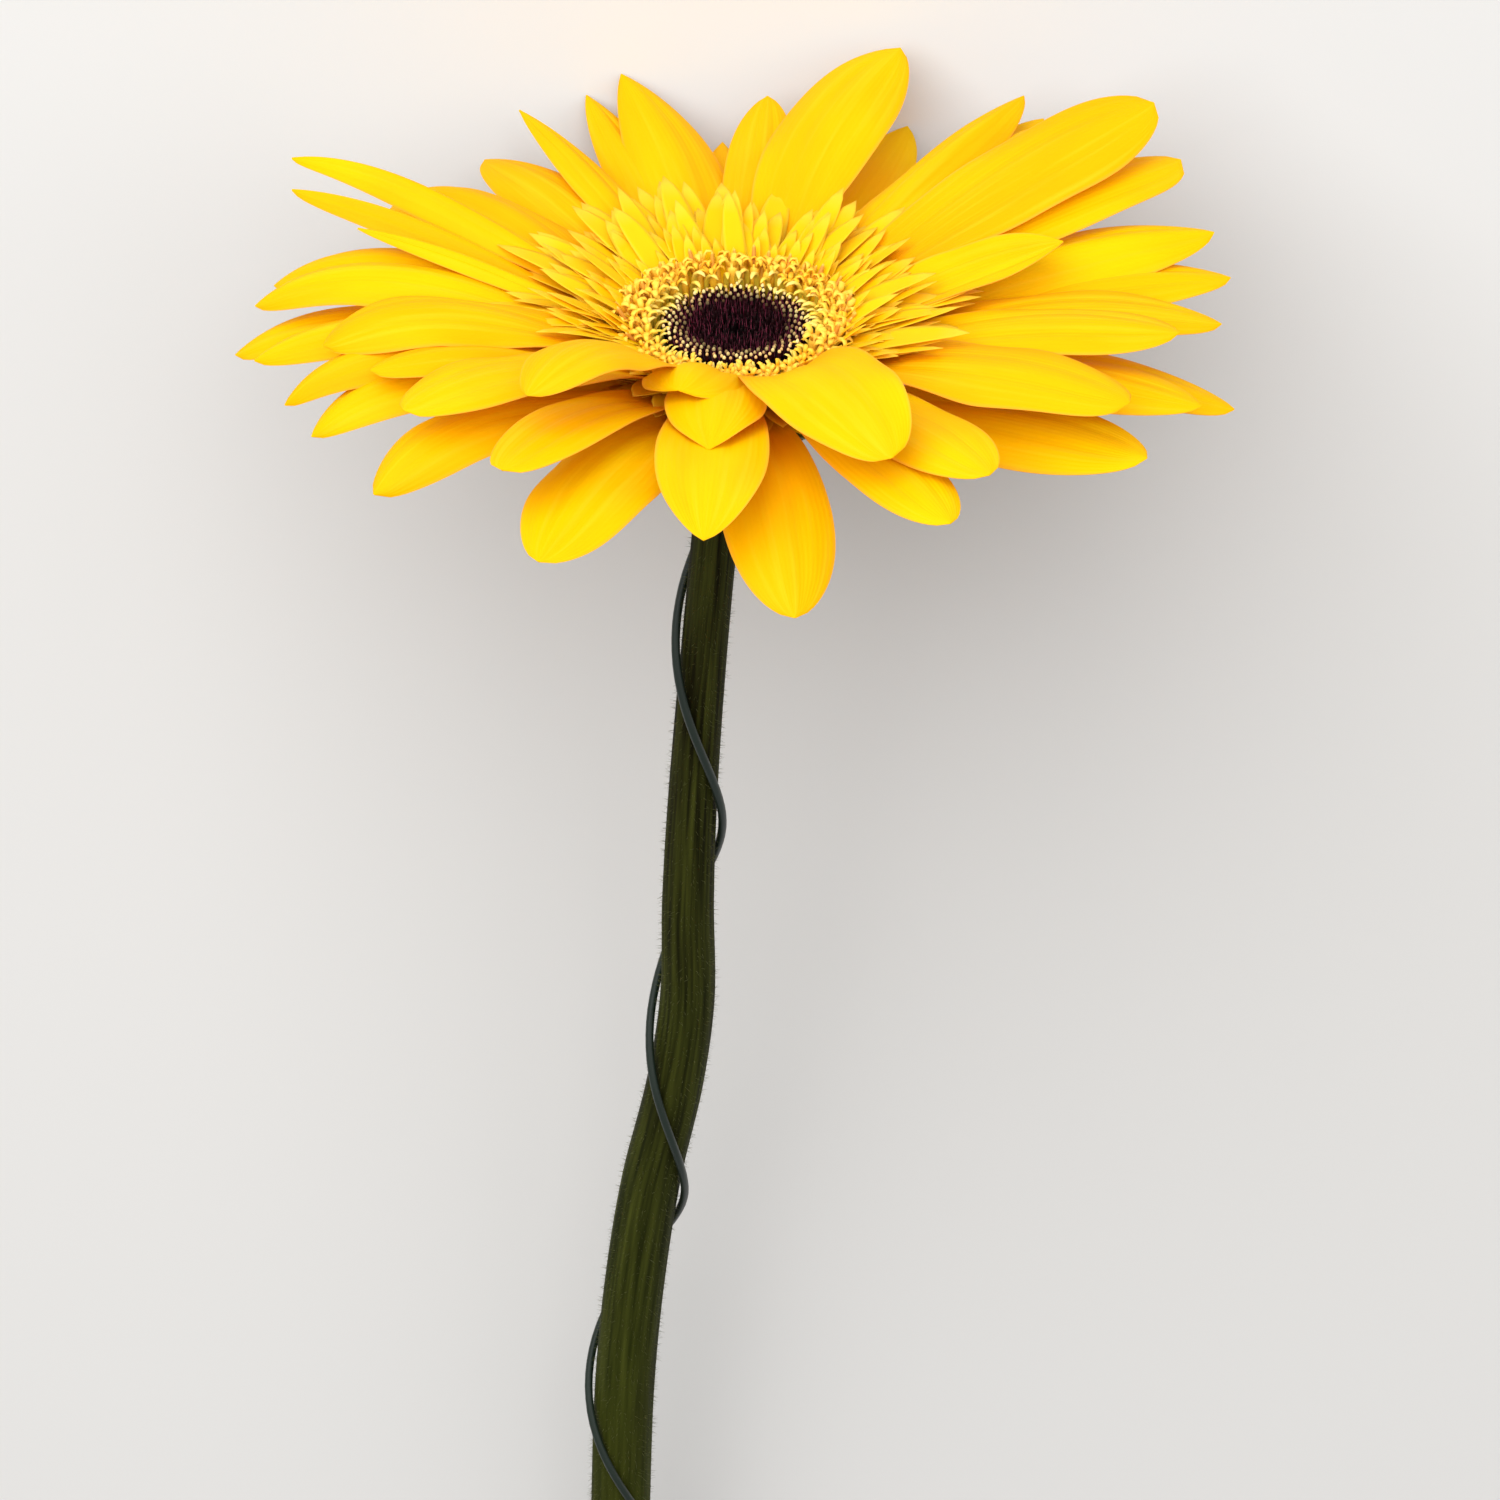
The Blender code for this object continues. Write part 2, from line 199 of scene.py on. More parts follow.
# Fresh green scape: a waxy skin that its hairs dull, so it is nearly matte. Its dark olive colour is partly
# its own and
# partly painted shade: darkest and brownest under the head, where the head's shade is painted on, and lighter
# and yellower towards the cut, with fine lengthwise streaks and soft blotches.
stalk_skin, tree, down = new_material("fresh_green_scape", "down")
skin_uv = add(tree, "ShaderNodeUVMap", uv_map="skin")
streaks = streaky(tree, skin_uv, (1.6, 0.05), 4.0)
blotches = streaky(tree, skin_uv, (0.16, 0.05), 2.0)
stalk_colour_and_painted_shade = layered(tree, "#120f02", (
    (down, 0.04, 0.45, 0.0, 1.0, "SMOOTHSTEP", "#1c2004"),
    (down, 0.4, 1.0, 0.0, 1.0, "LINEAR", "#434a0e"),
    (streaks, 0.35, 0.75, 0.0, 0.5, "LINEAR", "#53571f"),
    (blotches, 0.45, 0.8, 0.0, 0.45, "LINEAR", "#1c1907"),
))
stalk_bump = add(tree, "ShaderNodeBump", {"Height": streaks, "Strength": 0.5, "Distance": 0.00012})
stalk_shader = add(
    tree, "ShaderNodeBsdfPrincipled",
    {"Base Color": stalk_colour_and_painted_shade, "Roughness": 0.65, "Normal": stalk_bump, "Specular IOR Level": 0.05}
)
add(tree, "ShaderNodeOutputMaterial", {"Surface": stalk_shader})

# Cut scape: wet pith, paler than the skin, its cells drawn 0.4 mm wide so that they show.
cut_pith, tree = new_material("cut_scape_pith")
pith_place = add(tree, "ShaderNodeTexCoord").outputs["Object"]
pith_cells = add(tree, "ShaderNodeTexVoronoi", {"Vector": pith_place, "Scale": 2600.0})
pith_colour = add(tree, "ShaderNodeMix", {0: pith_cells, 6: "#c9cf93", 7: "#9aa55c"}, data_type="RGBA")
pith_bump = add(tree, "ShaderNodeBump", {"Height": pith_cells, "Strength": 0.4, "Distance": 0.0001})
pith_shader = add(
    tree, "ShaderNodeBsdfPrincipled", {"Base Color": pith_colour, "Roughness": 0.35, "Normal": pith_bump}
)
add(tree, "ShaderNodeOutputMaterial", {"Surface": pith_shader})

STALK_SIDES = 48
STALK_RINGS = 190
RIBS_START, RIBS_FULL_AFTER = 20, 60
RIB_HEIGHT = 0.012  # as a share of the radius
SWELL_LENGTH = 23.0
SKIN_RADIUS = 3.4  # that the skin's UV map is laid out for
# The knife cut: a narrow bevel, a flat of pith and a shallow hollow, as share of the radius and depth.
CUT_PROFILE = ((0.97, 0.0), (0.80, 0.0), (0.42, 0.0), (0.34, 1.2), (0.1, 1.8))
below = np.linspace(STALK_TOP, CUT_END, STALK_RINGS)
around = np.arange(STALK_SIDES) * 360 / STALK_SIDES
ribs = RIB_HEIGHT * (np.cos(np.radians(9 * around)) + 0.5 * np.cos(np.radians(5 * around + 40)))
swell = RIB_HEIGHT * np.sin(below / SWELL_LENGTH)[:, None]
ribbed = ease((below - RIBS_START) / RIBS_FULL_AFTER)[:, None]
skin_radius = stalk_radius(below)[:, None] * (1 + ribs * ribbed + swell)
stalk_rings = stalk_centre(below)[:, None, :] + compass(skin_radius, -around[None, :])
cut_centre = stalk_centre(np.array([CUT_END]))[0]
cut_rings = [cut_centre + compass(LOWER_RADIUS * share, -around, deep) for share, deep in CUT_PROFILE]
rings = np.concatenate((stalk_rings, np.array(cut_rings)))
points, faces = loft(rings)
cut_points = len(CUT_PROFILE) * STALK_SIDES
down = (below - STALK_TOP) / (CUT_END - STALK_TOP)
down = np.concatenate((np.repeat(down, STALK_SIDES), np.ones(cut_points), (0.0, 1.0)))
arc = np.broadcast_to(np.radians(np.minimum(around, 360 - around)) * SKIN_RADIUS, rings.shape[:2])
depth = np.concatenate((np.repeat(below, STALK_SIDES), np.full(cut_points, CUT_END)))
skin = np.stack((arc.ravel(), depth), axis=-1)
skin = np.concatenate((skin, ((0, STALK_TOP), (0, CUT_END))))
stalk_mesh = mesh_of("stalk", points, faces, {"down": down}, skin)
stalk_mesh.materials.append(stalk_skin)
stalk_mesh.materials.append(cut_pith)
for face in stalk_mesh.polygons:
    if min(face.vertices) >= STALK_RINGS * STALK_SIDES:
        face.material_index = 1

# The hairs are 0.9 mm long. Real ones are 0.03 mm thick, and these are 0.06 mm so that they show.
HAIR_LENGTH = 0.9
HAIR_THICKNESS = 0.06
HAIRS_PER_SQUARE = 1.5  # on each square millimetre of skin
hair_skin, tree = new_material("scape_hair")
hair_colour = mottled(tree, ("#42441a", "#6e703a"), 90.0)[1]
hair_shader = add(tree, "ShaderNodeBsdfPrincipled", {"Base Color": hair_colour, "Roughness": 0.6})
add(tree, "ShaderNodeOutputMaterial", {"Surface": hair_shader})


def needle(name, length, thickness, sides=3):
    """A closed needle that grows along +X."""
    turn = 2 * np.pi * np.arange(sides) / sides
    ring = thickness / 2 * np.stack((0 * turn, np.cos(turn), np.sin(turn)), axis=1)
    points = np.concatenate((ring, [[length, 0, 0]], [[0, 0, 0]]))
    tip, foot = sides, sides + 1
    faces = []
    for side in range(sides):
        after = (side + 1) % sides
        faces += [(foot, after, side), (side, after, tip)]
    return bpy.data.objects.new(name, mesh_of(name, points, faces))


def tree_inputs(tree, sockets):
    """Declares a geometry tree's inputs and its one output, and gives back its input node's outputs."""
    for name, kind in sockets.items():
        tree.interface.new_socket(name=name, in_out="INPUT", socket_type="NodeSocket" + kind)
    tree.interface.new_socket(name="Geometry", in_out="OUTPUT", socket_type="NodeSocketGeometry")
    return tree.nodes.new("NodeGroupInput").outputs


def grown(name, tree, values, start=None):
    """The plain mesh that a geometry tree makes with these input values."""
    holder = bpy.data.objects.new(name, start or bpy.data.meshes.new(name))
    modifier = holder.modifiers.new("grow", "NODES")
    modifier.node_group = tree
    for socket in tree.interface.items_tree:
        if socket.in_out == "INPUT" and socket.name in values:
            modifier[socket.identifier] = values[socket.name]
    bpy.context.scene.collection.objects.link(holder)
    graph = bpy.context.evaluated_depsgraph_get()
    mesh = bpy.data.meshes.new_from_object(holder.evaluated_get(graph))
    bpy.data.objects.remove(holder)
    return mesh


hair_tree = tree = bpy.data.node_groups.new("hairs on skin", "GeometryNodeTree")
given = tree_inputs(tree, {
    "Geometry": "Geometry", "Hair": "Object", "Hairs per square": "Float", "Spread": "Float",
    "Shortest": "Float", "Seed": "Int", "Material": "Material",
})
on_skin = add(
    tree, "GeometryNodeDistributePointsOnFaces",
    {"Mesh": given["Geometry"], "Density": given["Hairs per square"], "Seed": given["Seed"]}
)
sway = add(
    tree, "FunctionNodeRandomValue", {"Min": (-1, -1, -1), "Max": (1, 1, 1)}, data_type="FLOAT_VECTOR"
)
spread = add(tree, "ShaderNodeVectorMath", {0: sway, "Scale": given["Spread"]}, operation="SCALE")
aim = add(tree, "ShaderNodeVectorMath", {0: on_skin.outputs["Normal"], 1: spread}, operation="ADD")
turned = add(tree, "FunctionNodeAlignRotationToVector", {"Vector": aim}, axis="X")
hair_object = add(tree, "GeometryNodeObjectInfo", {"Object": given["Hair"]}).outputs["Geometry"]
hair_size = add(tree, "FunctionNodeRandomValue", {2: given["Shortest"], 3: 1.0}, data_type="FLOAT")
hairs = add(
    tree, "GeometryNodeInstanceOnPoints",
    {"Points": on_skin, "Instance": hair_object, "Rotation": turned, "Scale": hair_size}
)
real_hairs = add(tree, "GeometryNodeRealizeInstances", {0: hairs})
hair_done = add(tree, "GeometryNodeSetMaterial", {"Geometry": real_hairs, "Material": given["Material"]})
add(tree, "NodeGroupOutput", {0: hair_done})

hair_mesh = grown("stalk_hairs", hair_tree, {
    "Hair": needle("hair", HAIR_LENGTH, HAIR_THICKNESS), "Hairs per square": HAIRS_PER_SQUARE,
    "Spread": 0.55, "Shortest": 0.5, "Seed": 4, "Material": hair_skin,
}, start=stalk_mesh.copy())
stalk = placed("stalk", stalk_mesh)
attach(stalk, "root")
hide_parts("flower_stalk")
stalk_hairs = placed("stalk_hairs", hair_mesh, hair_skin)
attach(stalk_hairs, "root")

# ----------------------------------------------------------------------
# The florist's wire: one length of annealed steel stub wire, 1 mm thick in dark green lacquer.
# It is wound by hand in a long left-handed spiral down the stalk, and only its own spring holds it on.

WIRE_RADIUS = 0.5
WIRE_TOP = 15.6
WIRE_END = 252.0
WIRE_PITCH = 57.5
WIRE_IN_FRONT_AT = 54.5
WIRE_STANDOFF = 0.3
WIRE_SIDES = 14
WIRE_STEPS_A_TURN = 40
NIPPED_LENGTH = 0.12
NIPPED_SHARE = 0.75

# Stoved lacquer on drawn wire: smooth and satin, slightly uneven where it was bent.
lacquer, tree = new_material("green_lacquered_wire")
lacquer_noise, lacquer_colour = mottled(tree, ("#09160d", "#102115"), 140.0, 3.0)
lacquer_rough = add(tree, "ShaderNodeMapRange", {"Value": lacquer_noise, "To Min": 0.35, "To Max": 0.55})
lacquer_shader = add(
    tree, "ShaderNodeBsdfPrincipled",
    {"Base Color": lacquer_colour, "Roughness": lacquer_rough, "Coat Weight": 0.1}
)
add(tree, "ShaderNodeOutputMaterial", {"Surface": lacquer_shader})

wire_points = round((WIRE_END - WIRE_TOP) / WIRE_PITCH * WIRE_STEPS_A_TURN)
below = np.linspace(WIRE_TOP, WIRE_END, wire_points)
wound = 270 + 360 * (below - WIRE_IN_FRONT_AT) / WIRE_PITCH
wire_line = stalk_centre(below) + compass(stalk_radius(below) + WIRE_STANDOFF + WIRE_RADIUS, wound)
heading = np.gradient(wire_line, axis=0)
heading /= np.linalg.norm(heading, axis=1)[:, None]
sideways = np.cross(heading, compass(1.0, wound))
sideways /= np.linalg.norm(sideways, axis=1)[:, None]
outward = np.cross(sideways, heading)
turn = 2 * np.pi * np.arange(WIRE_SIDES) / WIRE_SIDES
tube = outward[:, None] * np.cos(turn)[None, :, None] + sideways[:, None] * np.sin(turn)[None, :, None]
tube *= WIRE_RADIUS
nipped = [
    wire_line[end] + way * NIPPED_LENGTH * heading[end] + NIPPED_SHARE * tube[end]
    for end, way in ((0, -1), (-1, 1))
]
points, faces = loft(np.concatenate((nipped[:1], wire_line[:, None] + tube, nipped[1:])))
wire = placed("florist_wire", mesh_of("florist_wire", points, faces), lacquer)
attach(wire, "root")
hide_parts("florists_wire")

# ----------------------------------------------------------------------
# The receptacle and the bracts: the green plate that carries every floret, and three rows of narrow
# pointed bracts that overlap like tiles up its underside. All of it is living tissue, grown together.

# Bract tissue: matte and finely mottled green, turning reddish brown at the tip.
bract_skin, tree, along = new_material("bract_tissue", "along")
bract_noise, bract_green = mottled(tree, ("#4d5a26", "#7b8748"), 420.0, 4.0)
bract_colour = layered(tree, bract_green, ((along, 0.72, 1.0, 0.0, 0.8, "LINEAR", "#5e3320"),))
bract_bump = add(tree, "ShaderNodeBump", {"Height": bract_noise, "Strength": 0.6, "Distance": 0.0001})
bract_shader = add(
    tree, "ShaderNodeBsdfPrincipled", {"Base Color": bract_colour, "Roughness": 0.62, "Normal": bract_bump}
)
add(tree, "ShaderNodeOutputMaterial", {"Surface": bract_shader})
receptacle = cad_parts["receptacle"]
for slot in receptacle.material_slots:
    slot.material = bract_skin


def blade(name, length, width, shape, bend=0.0, fold=0.0, thickness=0.3, steps=8, strips=4):
    """A closed leaf that grows along +X with its upper face +Z. shape gives the width's share along it,
    bend is how far its end turns down in degrees, and fold is how deep its channel is."""
    share = np.linspace(0, 1, steps + 1)[:, None]
    across = np.linspace(-1, 1, strips + 1)
    fall = -np.radians(bend) * share
    out, down = (np.cumsum(part, axis=0) * length / steps for part in (np.cos(fall), np.sin(fall)))
    half = np.maximum(width / 2 * shape(share), 0.02)
    wall = thickness / 2 * (1 - 0.7 * across**2) * (1 - 0.6 * share)
    lift = half * fold * across**2 + np.array((wall, -wall))
    out, down = out - out[0] - lift * np.sin(fall), down - down[0] + lift * np.cos(fall)
    points = np.stack((out, np.broadcast_to(half * across, lift.shape), down), axis=-1)
    told = {"along": np.broadcast_to(share, lift.shape), "edge": np.broadcast_to(np.abs(across), lift.shape)}
    mesh = mesh_of(name, points.reshape(-1, 3), closed_sheet(steps, strips), told)
    return bpy.data.objects.new(name, mesh)


def closed_sheet(steps, strips):
    """Faces of an upper and a lower grid of points joined round their rim."""
    row = strips + 1
    lower = (steps + 1) * row
    along, over = np.meshgrid(np.arange(steps), np.arange(strips), indexing="ij")
    corner = (along * row + over).ravel()
    upper = np.stack((corner, corner + row, corner + row + 1, corner + 1), axis=1)
    near = np.arange(steps) * row
    far = near + strips
    foot = np.arange(strips)
    tip = steps * row + foot
    return np.concatenate((
        upper,
        upper[:, ::-1] + lower,
        np.stack((far + row, far + row + lower, far + lower, far), axis=1),
        np.stack((near + lower, near + row + lower, near + row, near), axis=1),
        np.stack((foot, foot + 1, foot + 1 + lower, foot + lower), axis=1),
        np.stack((tip + 1, tip, tip + lower, tip + 1 + lower), axis=1),
    ))


whorl_tree = tree = bpy.data.node_groups.new("spiral whorl", "GeometryNodeTree")
given = tree_inputs(tree, {
    "Pattern": "Object", "Count": "Int",
    **dict.fromkeys((
        "Inner radius", "Outer radius", "Inner height", "Outer height", "Inner lean", "Outer lean",
        "Lean scatter", "Turn scatter", "Smallest", "Largest", "Front reach", "Front lean", "Start",
    ), "Float"),
    "Seed": "Int", "Material": "Material",
})
GOLDEN_ANGLE = math.pi * (3 - math.sqrt(5))
STEEP_FRONT = math.radians(256)
FRONT_STARTS, FRONT_FULL = 0.26, 0.71  # cosines of the angle from the steep front
index = add(tree, "GeometryNodeInputIndex")
share = add(tree, "ShaderNodeMath", {0: index, 1: given["Count"]}, operation="DIVIDE")
squares = [
    add(tree, "ShaderNodeMath", {0: given[key], 1: given[key]}, operation="MULTIPLY")
    for key in ("Inner radius", "Outer radius")
]
square = add(tree, "ShaderNodeMapRange", {"Value": share, "To Min": squares[0], "To Max": squares[1]})
radius = add(tree, "ShaderNodeMath", {0: square}, operation="SQRT")
outness = add(
    tree, "ShaderNodeMapRange",
    {"Value": radius, "From Min": given["Inner radius"], "From Max": given["Outer radius"]}
)
height, mean_lean = [
    add(
        tree, "ShaderNodeMapRange",
        {"Value": outness, "To Min": given["Inner " + key], "To Max": given["Outer " + key]}
    )
    for key in ("height", "lean")
]
angle = add(
    tree, "ShaderNodeMath", {0: index, 1: GOLDEN_ANGLE, 2: given["Start"]}, operation="MULTIPLY_ADD"
)
x = add(tree, "ShaderNodeMath", {0: angle}, operation="COSINE")
y = add(tree, "ShaderNodeMath", {0: angle}, operation="SINE")
flat = add(tree, "ShaderNodeCombineXYZ", {"X": x, "Y": y})
out = add(tree, "ShaderNodeVectorMath", {0: flat, "Scale": radius}, operation="SCALE")
up = add(tree, "ShaderNodeCombineXYZ", {"Z": height})
seat_place = add(tree, "ShaderNodeVectorMath", {0: out, 1: up}, operation="ADD")
seats = add(tree, "GeometryNodePoints", {"Count": given["Count"], "Position": seat_place})
chance = add(
    tree, "FunctionNodeRandomValue", {"Min": (-1, -1, -1), "Max": (1, 1, 1), "Seed": given["Seed"]},
    data_type="FLOAT_VECTOR"
)
chances = add(tree, "ShaderNodeSeparateXYZ", {0: chance}).outputs
lean = add(
    tree, "ShaderNodeMath", {0: chances[0], 1: given["Lean scatter"], 2: mean_lean},
    operation="MULTIPLY_ADD"
)
# On the side that faces up when the flower lies, the pieces keep a share of their size and lean further up.
from_front = add(tree, "ShaderNodeMath", {0: angle, 1: STEEP_FRONT}, operation="SUBTRACT")
facing = add(tree, "ShaderNodeMath", {0: from_front}, operation="COSINE")
frontness = add(
    tree, "ShaderNodeMapRange", {"Value": facing, "From Min": FRONT_STARTS, "From Max": FRONT_FULL},
    interpolation_type="SMOOTHSTEP"
)
lean = add(
    tree, "ShaderNodeMath", {0: frontness, 1: given["Front lean"], 2: lean}, operation="MULTIPLY_ADD"
)
pitch = add(tree, "ShaderNodeMath", {0: lean, 1: -math.pi / 180}, operation="MULTIPLY")
twist = add(tree, "ShaderNodeMath", {0: chances[1], 1: given["Turn scatter"]}, operation="MULTIPLY")
yaw = add(
    tree, "ShaderNodeMath", {0: chances[2], 1: given["Turn scatter"], 2: angle}, operation="MULTIPLY_ADD"
)
rotation = add(tree, "ShaderNodeCombineXYZ", {"X": twist, "Y": pitch, "Z": yaw})
size = add(
    tree, "FunctionNodeRandomValue", {2: given["Smallest"], 3: given["Largest"], "Seed": given["Seed"]},
    data_type="FLOAT"
)
front_size = add(
    tree, "ShaderNodeMapRange", {"Value": frontness, "To Min": 1.0, "To Max": given["Front reach"]}
)
size = add(tree, "ShaderNodeMath", {0: size, 1: front_size}, operation="MULTIPLY")
pattern = add(tree, "GeometryNodeObjectInfo", {"Object": given["Pattern"]}).outputs["Geometry"]
copies = add(
    tree, "GeometryNodeInstanceOnPoints",
    {"Points": seats, "Instance": pattern, "Rotation": rotation, "Scale": size}
)
# What the materials read on each copy: a value by chance, and how far out in the spiral it is.
pick = add(tree, "FunctionNodeRandomValue", {"Seed": given["Seed"]}, data_type="FLOAT")
for key, told in (("pick", pick), ("outness", share)):
    copies = add(
        tree, "GeometryNodeStoreNamedAttribute", {"Geometry": copies, "Name": key, "Value": told},
        data_type="FLOAT", domain="INSTANCE"
    )
real_copies = add(tree, "GeometryNodeRealizeInstances", {0: copies})
whorl_done = add(
    tree, "GeometryNodeSetMaterial", {"Geometry": real_copies, "Material": given["Material"]}
)
add(tree, "NodeGroupOutput", {0: whorl_done})


def whorl(
    name, pattern, material, radii, heights, leans, count, sizes=(0.9, 1.1), scatter=(4.0, 0.08),
    start=0.0, seed=1, front_reach=1.0, front_lean=0.0,
):
    """A ring or disc of copies of a pattern, in the golden-angle spiral that florets and bracts follow."""
    mesh = grown(name, whorl_tree, {
        "Pattern": pattern, "Count": count, "Inner radius": radii[0], "Outer radius": radii[1],
        "Inner height": heights[0], "Outer height": heights[1], "Inner lean": leans[0],
        "Outer lean": leans[1], "Lean scatter": scatter[0], "Turn scatter": scatter[1],
        "Smallest": sizes[0], "Largest": sizes[1], "Front reach": front_reach, "Front lean": front_lean,
        "Start": start, "Seed": seed, "Material": material,
    })
    return placed(name, mesh, material)


def lance(share):
    """A narrow leaf with a long point."""
    return (0.55 + 0.45 * ease(share / 0.35)) * (1 - np.clip((share - 0.35) / 0.65, 0, 1) ** 1.6) ** 0.9


BRACT_WIDTH = 1.9
# name, count, foot radius, foot height, lean, length
BRACT_ROWS = (
    ("outer_bracts", 26, 5.1, -13.1, 40, 5.6),
    ("middle_bracts", 30, 6.8, -11.5, 36, 7.0),
    ("inner_bracts", 34, 8.5, -9.8, 30, 7.4),
)
for number, (name, count, foot, seat, lean_up, length) in enumerate(BRACT_ROWS):
    pattern = blade("bract", length, BRACT_WIDTH, lance, bend=14, fold=0.35, thickness=0.45, steps=7)
    row = whorl(
        name + "_row", pattern, bract_skin, (foot - 0.15, foot + 0.15), (seat, seat), (lean_up, lean_up),
        count, (0.9, 1.08), (3.0, 0.1), start=number, seed=20 + number,
    )
    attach(row, "root")
    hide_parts(name)

# ----------------------------------------------------------------------
# The ray florets: forty-six big outer florets, each one soft petal with a narrow claw, fine lengthwise
# ribs and a short point. They sit in four tight rows round the rim, the inner rows over the outer ones.

RIM_RADIUS = 10.7
RAY_GAP = 0.3
CLAW_ACROSS, CLAW_UP = 1.3, 0.68  # half sizes of the room that a claw takes at the rim
GROOVE_PLACE, GROOVE_WIDTH, GROOVE_DEPTH = 0.36, 0.13, 0.22
WAVE_HEIGHT = 0.3
MARGIN_THICKNESS, THICKER_IN_MIDDLE = 0.12, 0.26
RIB_DEPTH = 0.3
RAY_STEPS = 56
RAY_STRIPS = 24
# seat and heading in compass degrees, length, width, lift and arch, and sweep and roll if it has any
RAY_ROWS = (
    (-6.4, (
        (9, 12, 46, 9.0, 8, 35, 0, 5),
        (70, 68, 43.4, 10.0, 6, 20),
        (90, 93, 35, 8.0, 8, 20),
        (110, 109, 43.6, 7.0, 11, 14, -10, 0),
        (145, 142.5, 43.6, 9.0, -4.8, 95),
        (175, 177.6, 47.0, 9.5, 1.2, 66),
        (204, 201.2, 41.3, 9.0, 4.4, 83),
        (221, 217.7, 40.6, 9.5, 4.9, 76),
        (246, 245, 39, 12.5, 6, 50),
        (276, 278, 37, 12.0, -3, 60),
        (329, 332, 39, 12.0, 6, 20, 0, 8),
        (350, 350, 45, 10.0, 2, 45),
    )),
    (-5.1, (
        (17, 17, 46, 10.5, 10, 35, 0, 8),
        (50, 50, 45, 8.0, 11, 25),
        (108, 104, 43, 10.5, 13, 10, -30, 0),
        (126, 126, 40, 10.0, 6, 45),
        (143, 141.5, 46, 10.0, -1, 96),
        (162, 163.2, 46.3, 9.0, 1.3, 70),
        (181, 185.6, 43.8, 8.0, 4.3, 60),
        (197, 196.6, 43.1, 7.5, 4.8, 82),
        (236, 239, 37, 9.0, 17, 40),
        (262, 267, 36, 12.0, 10, 50),
        (298, 298, 37, 10.0, 9, 35),
        (341, 343, 42, 9.5, 6, 35),
        (359.5, 359.4, 43.5, 10.0, 7.8, 47),
    )),
    (-3.8, (
        (26, 28, 47, 11.0, 13, 30, 0, 8),
        (44, 44, 45, 9.0, 12, 25),
        (88, 85, 36, 8.0, 13, 10),
        (160, 161.7, 43.3, 4.8, 15.9, 30),
        (178, 174.9, 45.4, 9.5, 5.1, 74, 0, -5),
        (205, 203.2, 33.3, 6.8, 14.8, 44),
        (306, 307, 34, 11.0, 11, 35),
        (349.5, 348.5, 39, 10.6, 12.9, 36),
    )),
    (-2.5, (
        (14, 10, 27, 8.5, 20, 15, 0, 10),
        (34, 32, 47, 13.0, 18, 20, 0, 15),
        (53, 51, 43, 7.5, 12.6, 25),
        (69, 69, 43, 12.5, 16, 20, 35, 0),
        (118, 120, 41, 5.2, 8, 25),
        (152, 155.5, 46.4, 5.0, 13.6, 42),
        (172, 168, 33.2, 3.2, 18.3, 24),
        (194, 192.3, 37.4, 10.5, 9.4, 74),
        (216, 219.1, 35.1, 10.0, 13.9, 44),
        (236, 236.7, 33.5, 10.0, 25.0, 78),
        (262, 266, 21, 11.0, 15, 84),
        (289, 296, 32, 13.5, 15, 90, -14, 20),
        (330, 330, 38, 11.5, 11, 35, 0, 8),
    )),
)


# Where a floret grew otherwise: how far along it is widest, how far its edges stand up (or hang down) over
# its outer half, how late it bends, how deep it is folded along its rib, and how blunt its tip is.
PLAIN_HABIT = (0.6, -0.25, 1.3, 0.0, 0.62)
CLAW_FULLNESS = 0.7
CLAW_HALF = 1.5
BROAD_CLAW_HALF = 2.8
BROAD_CLAWS = (10, 21, 22, 32, 42, 43, 44, 45, 46)
RAY_HABITS = {
    2: (0.55, -0.3, 1.3, 0.0, 0.7),
    3: (0.5, -0.3, 1.3, -0.15, 0.8),
    4: (0.5, -0.2, 1.3, -0.15, 0.8),
    5: (0.6, -0.25, 2.4, 0.0, 0.62),
    6: (0.6, -0.5, 2.6, 0.0, 0.6),
    7: (0.6, -0.5, 3.2, 0.0, 0.6),
    8: (0.6, -0.5, 2.8, 0.0, 0.5),
    13: (0.55, -0.2, 1.3, -0.3, 0.66),
    15: (0.5, -0.3, 1.3, -0.1, 0.8),
    16: (0.55, -0.3, 1.6, 0.0, 0.62),
    17: (0.5, -0.35, 2.4, -0.2, 0.7),
    18: (0.6, -0.45, 2.1, 0.0, 0.6),
    19: (0.6, -0.5, 2.5, -0.1, 0.62),
    20: (0.6, -0.5, 3.2, -0.15, 0.6),
    21: (0.65, -0.1, 1.4, 0.0, 0.42),
    22: (0.55, -0.1, 1.5, 0.12, 0.72),
    26: (0.7, -0.2, 1.3, 0.0, 0.45),
    29: (0.45, -0.7, 2.4, -0.3, 0.6),
    30: (0.55, -0.45, 2.4, -0.1, 0.62),
    31: (0.62, -0.4, 2.8, -0.1, 0.52),
    32: (0.6, -0.15, 1.4, 0.0, 0.55),
    34: (0.5, 0.1, 1.2, 0.12, 0.85),
    35: (0.62, -0.15, 1.2, 0.0, 0.5),
    36: (0.6, -0.4, 1.3, -0.2, 0.7),
    38: (0.42, -0.3, 1.6, -0.2, 0.85),
    39: (0.45, -0.7, 3.0, -0.3, 0.6),
    40: (0.45, -0.5, 1.6, -0.3, 0.7),
    41: (0.62, -0.4, 3.0, 0.0, 0.52),
    42: (0.62, -0.2, 2.2, 0.0, 0.45),
    43: (0.55, -0.3, 2.0, 0.0, 0.6),
    44: (0.5, -0.3, 1.0, 0.08, 0.95),
    45: (0.45, -0.15, 1.0, 0.05, 0.5),
    46: (0.58, -0.25, 1.2, 0.0, 0.52),
}


